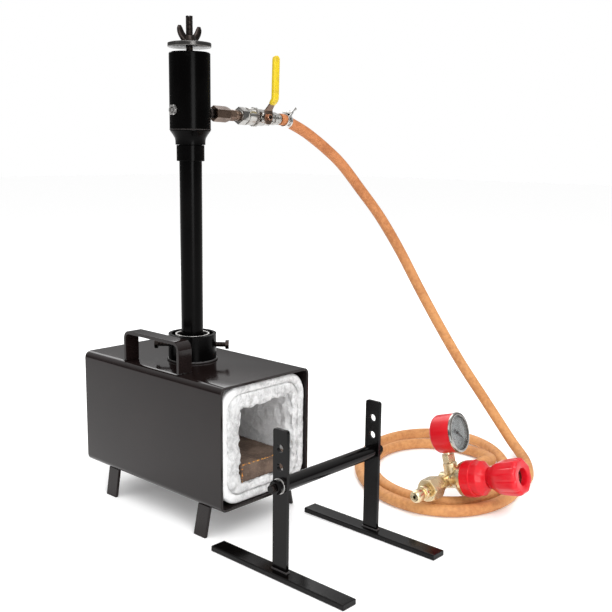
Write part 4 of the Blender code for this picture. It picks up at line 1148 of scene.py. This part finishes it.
# ---------------------------------------------------------------- gas line and valve
def make_gas_line():
    bronze, plate = BRONZED, FINISHES["nickel_plate"]
    steel = FINISHES["bright_steel"]
    plug = aimed((-0.0312, 0, 0), (-0.0346, 0, 0), GAS_LINE)
    stands_for(hex_solid("pipe_plug_piece", 0.0140, 0.0, 0.0033, plug, steel), "pipe_plug")
    socket = [(0.0042, 0.0020), (0.0042, 0.0034), (0.0030, 0.0034), (0.0030, 0.0020)]
    goes_with(turned("pipe_plug_socket", socket, plug, FINISHES["dark_steel"], 32, width=0.0001), "pipe_plug")
    dressed("flare_nut", 0.0004, bronze)
    profile = [(0.0084, 0.0965), (0.0084, 0.0900), (0.0076, 0.0895), (0.0076, 0.0875), (0.0084, 0.0870),
               (0.0084, 0.0585), (0.0040, 0.0585), (0.0040, 0.0965)]
    stands_for(turned("gas_adapter_piece", profile, ALONG_LINE, bronze, 56), "gas_adapter")
    goes_with(RING.run("adapter_flats", bronze, matrix=ALONG_LINE @ Matrix.Translation((0, 0, 0.0815)),
                       Count=6,
                       Start=0.26, Sweep=5.236, Radius=0.0079, Size=(0.0012, 0.0078, 0.0100)),
              "gas_adapter")
    tail = [(0.0080, BARB_END), (0.0093, 0.1850), (0.0088, 0.1846), (0.0093, 0.1812), (0.0088, 0.1808),
            (0.0093, 0.1780),
            (0.0105, 0.1770), (0.0105, 0.1725), (0.0085, 0.1715), (0.0085, 0.1665), (0.0040, 0.1665),
            (0.0040, BARB_END)]
    stands_for(turned("hose_barb_piece", tail, ALONG_LINE, plate, 56, width=0.0002), "hose_barb")
    dressed("valve_body", 0.0005, plate)
    axis = aimed((-0.05, 0, 0), (0.05, 0, 0), VALVE)
    for name, radius, place, finish in (("inlet", 0.01375, 0.0185, plate), ("middle", 0.01500, 0.0362, plate),
                                        ("outlet", 0.01335, 0.0538, plate)):
        bore = radius - 0.0035
        ring = [(radius, place), (radius, place + 0.0022), (bore, place + 0.0022), (bore, place)]
        goes_with(turned(f"valve_ring_{name}", ring, axis, finish, 56, width=0.0004), "valve_body")
    dressed("packing_nut", 0.0003, plate)
    dressed("valve_ball", 0.0)
    dressed("valve_stem", 0.0003)
    threaded("valve_stem_thread", "valve_stem", 0.0029, 0.0008, 0.0050,
             aimed((0, -0.0222, 0), (0, -0.0300, 0), VALVE), "dark_steel")
    dressed("valve_lever", 0.0004, BRONZED, 3)
    nut = aimed((0, -0.0227, 0), (0, -0.0262, 0), VALVE)
    stands_for(hex_solid("lever_nut_piece", 0.0092, 0.0, 0.0035, nut, COPPERY, bore=0.0031), "lever_nut")
    make_grip()


def make_grip():
    """A dipped vinyl sleeve, thick and round at its edges."""
    blade_y = -0.0350
    route = smooth_route([(0, blade_y + 0.0060, 0.0207), (0, blade_y + 0.0012, 0.0262), (0, blade_y, 0.0300),
                          (0, blade_y, 0.0600), (0, blade_y, 0.0880), (0, blade_y, 0.0925),
                          (0, blade_y, 0.0938)], 0.0016)
    rings = []
    count = len(route)
    for number, spot in enumerate(route):
        before, after = route[max(0, number - 1)], route[min(count - 1, number + 1)]
        ahead = (after - before).normalized()
        normal = Vector((1.0, 0.0, 0.0)).cross(ahead)
        from_top = 0.0942 - spot.z
        closing = math.sqrt(max(0.03, 1 - max(0.0, 1 - from_top / 0.0062) ** 2))
        lip = 1.0 if number > 1 else 0.90
        ring = []
        for s in range(28):
            a = 2 * math.pi * s / 28
            flat = abs(math.cos(a)) ** 0.55 * math.copysign(1, math.cos(a))
            tall = abs(math.sin(a)) ** 0.60 * math.copysign(1, math.sin(a))
            ring.append(spot + Vector((flat * 0.0063 * closing * lip, 0, 0))
                        + normal * (tall * 0.0038 * (0.55 + 0.45 * closing) * lip))
        rings.append(ring)
    mesh = mesh_of(skinned(rings), "lever_grip", VALVE)
    stands_for(piece("lever_grip_piece", mesh, FINISHES["yellow_vinyl"], 60.0), "lever_grip")


def make_clamp():
    steel = FINISHES["bright_steel"]
    band = [(0.0108, 0.0055), (0.0108, -0.0055), (0.0100, -0.0055), (0.0100, 0.0055)]
    obj = turned("hose_clamp_piece", band, CLAMP @ Matrix.Rotation(math.pi / 2, 4, "Y"), steel, 64,
                 width=0.0002)
    stands_for(obj, "hose_clamp")
    goes_with(RING.run("clamp_slots", FINISHES["dark_steel"],
                       matrix=CLAMP @ Matrix.Rotation(math.pi / 2, 4, "Y"),
                       Count=22, Start=0.6, Sweep=4.9, Radius=0.01086, Size=(0.0002, 0.0011, 0.0056)),
              "hose_clamp")
    house = [Vector((x, y, z)) for x, y, z in ((-0.0058, 0.0070, 0), (-0.0058, -0.0056, 0))]
    rings = []
    for spot in house:
        ring = []
        for s in range(24):
            a = math.pi * s / 23
            ring.append(Vector((-0.0006 + 0.0052 * math.cos(a), spot.y,
                                0.0110 + 0.0066 * math.sin(a) ** 0.7)))
        rings.append(ring)
    goes_with(eased(piece("clamp_housing", mesh_of(skinned(rings), "clamp_housing", CLAMP), steel, 40.0),
                    0.0003),
              "hose_clamp")
    screw = aimed((0, 0.0088, 0.0142), (0, -0.0110, 0.0142), CLAMP)
    rod = [(0.0027, 0.0), (0.0029, 0.0006), (0.0029, 0.0150), (0.0022, 0.0160), (0.0022, 0.0196)]
    goes_with(piece("clamp_screw", mesh_of(skinned(lathe(rod, 28)), "clamp_screw", screw), steel),
              "hose_clamp")
    threaded("clamp_screw_thread", "hose_clamp", 0.0027, 0.0012, 0.0120, screw, "bright_steel")
    turn = CLAMP @ Matrix.Translation((0, -0.0100, 0.0142)) @ Matrix.Rotation(math.radians(28), 4, "Y")
    route = smooth_route([(0.0016, 0, -0.0088), (0.0010, 0, -0.0050), (0.0, 0, 0.0), (0.0004, 0, 0.0050),
                          (0.0020, 0, 0.0115)], 0.0010)
    rings = []
    for number, spot in enumerate(route):
        share = abs(2 * number / (len(route) - 1) - 1)
        wide = 0.0016 + 0.0017 * share ** 1.5
        rings.append([spot + Vector((wide * math.cos(a), 0.0008 * math.sin(a), 0))
                      for a in (2 * math.pi * s / 16 for s in range(16))])
    goes_with(piece("clamp_wing", mesh_of(skinned(rings), "clamp_wing", turn), steel, 60.0), "hose_clamp")


# ---------------------------------------------------------------- regulator
def make_regulator():
    brass, red = FINISHES["pale_brass"], FINISHES["red_enamel"]
    dressed("regulator_body", 0.0007, sharp=34.0)
    dressed("regulator_diaphragm", 0.0002)
    dressed("adjusting_screw", 0.0003)
    low, shoulder, top = 0.0348, 0.0744, 0.0820
    outside = [(0.0248, low), (0.0281, low), (0.0286, low + 0.0008), (0.0286, 0.0505), (0.0281, 0.0512),
               (0.0270, 0.0514), (0.0274, 0.0522), (0.0274, 0.0606), (0.0268, 0.0624), (0.0248, 0.0642),
               (0.0206, 0.0676), (0.0184, 0.0704), (0.0174, 0.0722), (0.0165, shoulder), (0.0135, shoulder),
               (0.0135, top), (0.0062, top), (0.0062, 0.0670), (0.0248, 0.0570)]
    facet = []
    for radius, height in outside:
        faceted = 0.0514 < height < 0.0720 and radius > 0.0180
        facet.append((12, 0.9) if faceted else (0, 0.0))
    obj = turned("regulator_bonnet_piece", outside, REGULATOR, red, 96, facet=facet, sharp=24.0, width=0.0003)
    stands_for(obj, "regulator_bonnet")
    make_knob()
    nose = [(0.0028, 0.1000), (0.0070, 0.0996), (0.0090, 0.0972), (0.0096, 0.0938), (0.0096, 0.0856),
            (0.0086, 0.0836),
            (0.0080, 0.0830), (0.0080, 0.0790), (0.0104, 0.0786), (0.0108, 0.0778), (0.0108, 0.0724),
            (0.0104, 0.0716),
            (0.0080, 0.0710), (0.0080, 0.0244), (0.0030, 0.0244), (0.0030, 0.0960), (0.0024, 0.0990)]
    obj = turned("inlet_nipple_piece", nose, REGULATOR @ Matrix.Rotation(-math.pi / 2, 4, "Y"), brass, 56,
                 width=0.0002)
    stands_for(obj, "inlet_nipple")
    dressed("inlet_nut", 0.0006, sharp=28.0)
    tail = [(0.0085, OUTLET_END), (0.0100, OUTLET_END - 0.0010), (0.0094, 0.0715), (0.0100, 0.0690),
            (0.0094, 0.0665),
            (0.0100, 0.0640), (0.0100, 0.0560), (0.0130, 0.0550), (0.0130, 0.0400), (0.0085, 0.0390),
            (0.0085, 0.0244), (0.0035, 0.0244), (0.0035, OUTLET_END)]
    obj = turned("outlet_barb_piece", tail, REGULATOR @ Matrix.Rotation(math.pi / 2, 4, "Y"), brass, 56,
                 width=0.0002)
    stands_for(obj, "outlet_barb")


def make_knob():
    """Eight broad faces that widen toward the end, with a round recess for the screw."""
    back, front = 0.0780, 0.1298
    rows = [(0.0062, back + 0.0100, 0), (0.0143, back + 0.0100, 0), (0.0143, back, 0), (0.0166, back, 0.2),
            (0.0173, back + 0.0008, 0.4), (0.0202, back + 0.0050, 0.8), (0.0236, back + 0.0105, 1),
            (0.0252, back + 0.0140, 1), (0.0266, back + 0.0210, 1), (0.0278, back + 0.0300, 1),
            (0.0286, front - 0.0120, 1), (0.0288, front - 0.0070, 1), (0.0283, front - 0.0040, 1),
            (0.0268, front - 0.0014, 1), (0.0244, front, 0.8), (0.0150, front, 0),
            (0.0132, front - 0.0006, 0),
            (0.0128, front - 0.0020, 0), (0.0124, front - 0.0100, 0), (0.0062, front - 0.0100, 0)]
    steps = 160
    rings = []
    for radius, height, share in rows:
        ring = []
        for s in range(steps):
            angle = 2 * math.pi * s / steps
            local = (angle % (math.pi / 4)) - math.pi / 8
            flat = min(math.cos(math.pi / 8) / math.cos(local), 0.985)
            groove = math.exp(-(local / 0.055) ** 2) * 0.030 * min(1.0, max(0.0, (height - 0.0950) / 0.012))
            reach = radius * (1 - share + share * (flat + 0.004 - groove))
            turn = angle + math.radians(22.5)
            ring.append(Vector((reach * math.cos(turn), reach * math.sin(turn), height)))
        rings.append(ring)
    mesh = mesh_of(skinned(rings, "loop"), "regulator_knob", REGULATOR)
    obj = piece("regulator_knob_piece", mesh, FINISHES["red_plastic"], 30.0)
    stands_for(obj, "regulator_knob")
    low, high = front - 0.0099, front - 0.0094
    cup = [(0.0124, low), (0.0064, low), (0.0064, high), (0.0124, high)]
    goes_with(turned("knob_insert", cup, REGULATOR, BRONZED, 48, width=0.0), "regulator_knob")


# ---------------------------------------------------------------- gauge
def make_gauge():
    red, plate, ink = FINISHES["red_enamel"], FINISHES["nickel_plate"], INK
    dressed("gauge_stem", 0.0004)
    back, front = -0.0105, 0.0250
    floor = front - 0.0030
    case = [(0.0271, floor), (0.0271, front), (0.0300, front), (0.0303, front - 0.0004),
            (0.0303, back + 0.0062),
            (0.0296, back + 0.0036), (0.0280, back + 0.0014), (0.0255, back)]
    body = turned("gauge_case_piece", case, GAUGE, red, 96, closed=False, width=0.0002)
    stands_for(body, "gauge_case")
    bezel = [(0.0290, front + 0.0042), (0.0306, front + 0.0036), (0.0312, front + 0.0022),
             (0.0312, front + GAP),
             (0.0275, front + GAP), (0.0275, front + 0.0020), (0.0260, front + 0.0020),
             (0.0264, front + 0.0038)]
    stands_for(turned("gauge_bezel_piece", bezel, GAUGE, plate, 96, width=0.0), "gauge_bezel")
    low, high = floor + 0.0002, front + 0.0030
    sleeve = [(0.0270, low), (0.0270, high), (0.0263, high), (0.0263, low)]
    goes_with(turned("gauge_inner_ring", sleeve, GAUGE, plate, 96, width=0.0), "gauge_case")
    dial = [(0.0262, floor + 0.0010), (0.0268, floor + 0.0008), (0.0268, floor + GAP)]
    face_card = turned("gauge_dial_piece", dial, GAUGE, FINISHES["dial_white"], 72, closed=False, width=0.0)
    stands_for(face_card, "gauge_dial")
    face = floor + 0.00105
    sweep = -math.radians(270)
    start = math.pi / 2 + NEEDLE_REST
    for name, count, radius, size in (("fine", 51, 0.0222, (0.0022, 0.00034, 0.0001)),
                                      ("broad", 11, 0.0212, (0.0042, 0.00090, 0.0001))):
        marks = RING.run(f"dial_ticks_{name}", ink, matrix=GAUGE @ Matrix.Translation((0, 0, face)),
                         Count=count,
                         Start=start, Sweep=sweep, Radius=radius, Size=size)
        goes_with(marks, "gauge_dial")
    for number in range(6):
        angle = start + sweep * number / 5
        make_number(str(number), angle, face)
    for name, radius, low, high in (("cap", 0.0026, floor + 0.0031, floor + 0.0036),):
        cap = [(radius, low), (radius, high - 0.0002), (radius * 0.7, high)]
        goes_with(turned(f"needle_{name}", cap, GAUGE, FINISHES["dark_steel"], 32, closed=False, width=0.0),
                  "gauge_needle")
    make_needle(floor + 0.0022)
    pane = [(0.0272, front + 0.0005), (0.0272, front + 0.0015), (0.0200, front + 0.0017),
            (0.0020, front + 0.0018)]
    obj = turned("gauge_glass_piece", pane, GAUGE, FINISHES["gauge_glass"], 72, closed=False, width=0.0)
    stands_for(obj, "gauge_glass")


def make_number(text, angle, face):
    curve = bpy.data.curves.new("number_" + text, "FONT")
    curve.body = text
    curve.size = 0.0072
    curve.offset = 0.00012
    curve.align_x, curve.align_y = "CENTER", "CENTER"
    curve.extrude = 0.00006
    holder = bpy.data.objects.new("number_holder", curve)
    bpy.context.scene.collection.objects.link(holder)
    graph = bpy.context.evaluated_depsgraph_get()
    graph.update()
    mesh = bpy.data.meshes.new_from_object(holder.evaluated_get(graph))
    bpy.data.objects.remove(holder, do_unlink=True)
    place = Matrix.Translation((0.0160 * math.cos(angle), 0.0160 * math.sin(angle), face))
    mesh.transform(GAUGE @ place @ Matrix.Rotation(math.radians(-38), 4, "Z"))
    goes_with(piece("dial_number_" + text, mesh, INK, 0), "gauge_dial")


def make_needle(height):
    outline = [(-0.0009, -0.0040), (-0.0024, -0.0056), (-0.0028, -0.0080), (-0.0016, -0.0102),
               (0.0016, -0.0102),
               (0.0028, -0.0080), (0.0024, -0.0056), (0.0009, -0.0040), (0.0016, 0.0), (0.0011, 0.0120),
               (0.0003, 0.0215), (-0.0003, 0.0215), (-0.0011, 0.0120), (-0.0016, 0.0)]
    rings = [[Vector((x, y, z)) for x, y in outline] for z in (height - 0.0003, height + 0.0003)]
    matrix = GAUGE @ Matrix.Rotation(NEEDLE_REST, 4, "Z")
    obj = piece("gauge_needle_piece", mesh_of(skinned(rings), "gauge_needle", matrix), INK, 30.0)
    stands_for(obj, "gauge_needle")
    hub = [(0.0028, height - 0.0008), (0.0028, height + 0.0006), (0.0020, height + 0.0009)]
    goes_with(turned("needle_hub", hub, GAUGE, FINISHES["dark_steel"], 32, closed=False, width=0.0),
              "gauge_needle")


# ---------------------------------------------------------------- work rest
def make_work_rest():
    for name in ("rest_base_left", "rest_base_right", "rest_upright_left", "rest_upright_right"):
        dressed(name, 0.0009, STAND_BLACK, 3)
    dressed("rest_bar", 0.0006, STAND_BLACK)
    for side, x, out in (("left", REST_LEFT, -1), ("right", REST_RIGHT, 1)):
        line = []
        for dx, dy in ((-1, -1), (1, -1), (1, 1), (-1, 1)):
            line.append(Vector((x + dx * 0.0030, REST_Y + dy * 0.0130, 0.0086)))
        welded(f"rest_weld_{side}", f"rest_upright_{side}", line, 0.0014)
        face = x + out * (0.0025 + GAP)
        axis = aimed((face, REST_Y, REST_HOLE), (face + out * 0.01, REST_Y, REST_HOLE))
        nut = hex_solid(f"rest_nut_{side}_piece", 0.0165, 0.0020, 0.0105, axis, STAND_BLACK, bore=0.0051)
        stands_for(nut, f"rest_nut_{side}")
        washer = [(0.0105, 0.0), (0.0105, 0.0019), (0.0051, 0.0019), (0.0051, 0.0)]
        goes_with(turned(f"rest_washer_{side}", washer, axis, FINISHES["bright_steel"], 56),
                  f"rest_nut_{side}")
        reach = 0.0172 if side == "left" else 0.0157
        threaded(f"rest_thread_{side}", "rest_bar", 0.0048, 0.0015, reach - 0.0108,
                 axis @ Matrix.Translation((0, 0, 0.0100)), "black_enamel", FINISHES["dark_steel"])


# ---------------------------------------------------------------- floor and light
def make_sky():
    """A white surround for the eye; the light itself is soft from above and dim near the floor."""
    world = bpy.data.worlds.new("studio")
    world.use_nodes = True
    tree = world.node_tree
    tree.nodes.clear()

    def node(kind, values=None, **settings):
        made = tree.nodes.new(kind)
        for key, value in settings.items():
            setattr(made, key, value)
        for key, value in (values or {}).items():
            if isinstance(value, bpy.types.NodeSocket):
                tree.links.new(value, made.inputs[key])
            else:
                made.inputs[key].default_value = value
        return made

    split = node("ShaderNodeSeparateXYZ", {0: node("ShaderNodeTexCoord").outputs["Generated"]})
    rise = node("ShaderNodeMapRange", {"Value": split.outputs["Z"], "From Min": -0.05, "From Max": 0.75,
                                       "To Min": 0.13, "To Max": 1.05}, interpolation_type="SMOOTHSTEP")
    lit = node("ShaderNodeBackground", {"Color": (1, 1, 1, 1), "Strength": rise.outputs["Result"]})
    seen = node("ShaderNodeBackground", {"Color": (1, 1, 1, 1), "Strength": 1.0})
    ray = node("ShaderNodeLightPath")
    mixed = node("ShaderNodeMixShader",
                 {0: ray.outputs["Is Camera Ray"], 1: lit.outputs[0], 2: seen.outputs[0]})
    node("ShaderNodeOutputWorld", {"Surface": mixed.outputs[0]})
    bpy.context.scene.world = world


def make_studio():
    floor_mesh = bpy.data.meshes.new("floor")
    bm = bmesh.new()
    bmesh.ops.create_grid(bm, x_segments=1, y_segments=1, size=14.0)
    bm.to_mesh(floor_mesh)
    bm.free()
    finish = Finish("floor paper", (0.93, 0.93, 0.93), 0.85, 0.0,
                    {"Specular IOR Level": 0.1, "Emission Color": (1, 1, 1, 1), "Emission Strength": 0.15})
    finish.rough(0.82 + finish.grain(3.0) * 0.05)
    floor = bpy.data.objects.new("floor", floor_mesh)
    floor_mesh.materials.append(finish.material)
    floor_mesh.transform(Matrix.Translation((0, 0, -0.0002)))
    bpy.context.scene.collection.objects.link(floor)
    make_sky()
    for name, place, size, power in (("key", (-1.0, -1.7, 2.4), 1.8, 50.0),
                                     ("front", (-0.95, -2.1, 0.55), 0.8, 15.0),
                                     ("side", (-2.4, 0.9, 1.8), 1.4, 7.0),
                                     ("far", (1.2, 2.2, 2.4), 2.2, 40.0)):
        light_data = bpy.data.lights.new(name, "AREA")
        light_data.size = size
        light_data.energy = power
        light = bpy.data.objects.new(name, light_data)
        aim = (Vector((0, 0, 0.2)) - Vector(place)).to_track_quat("-Z", "Y")
        light.matrix_world = Matrix.Translation(place) @ aim.to_matrix().to_4x4()
        bpy.context.scene.collection.objects.link(light)
    bpy.context.scene.view_settings.view_transform = "Standard"


hose, hose_line, hose_length = make_hose()
make_body()
make_lining()
make_brick()
make_burner()
make_choke()
make_gas_line()
make_clamp()
make_regulator()
make_gauge()
make_work_rest()
make_studio()
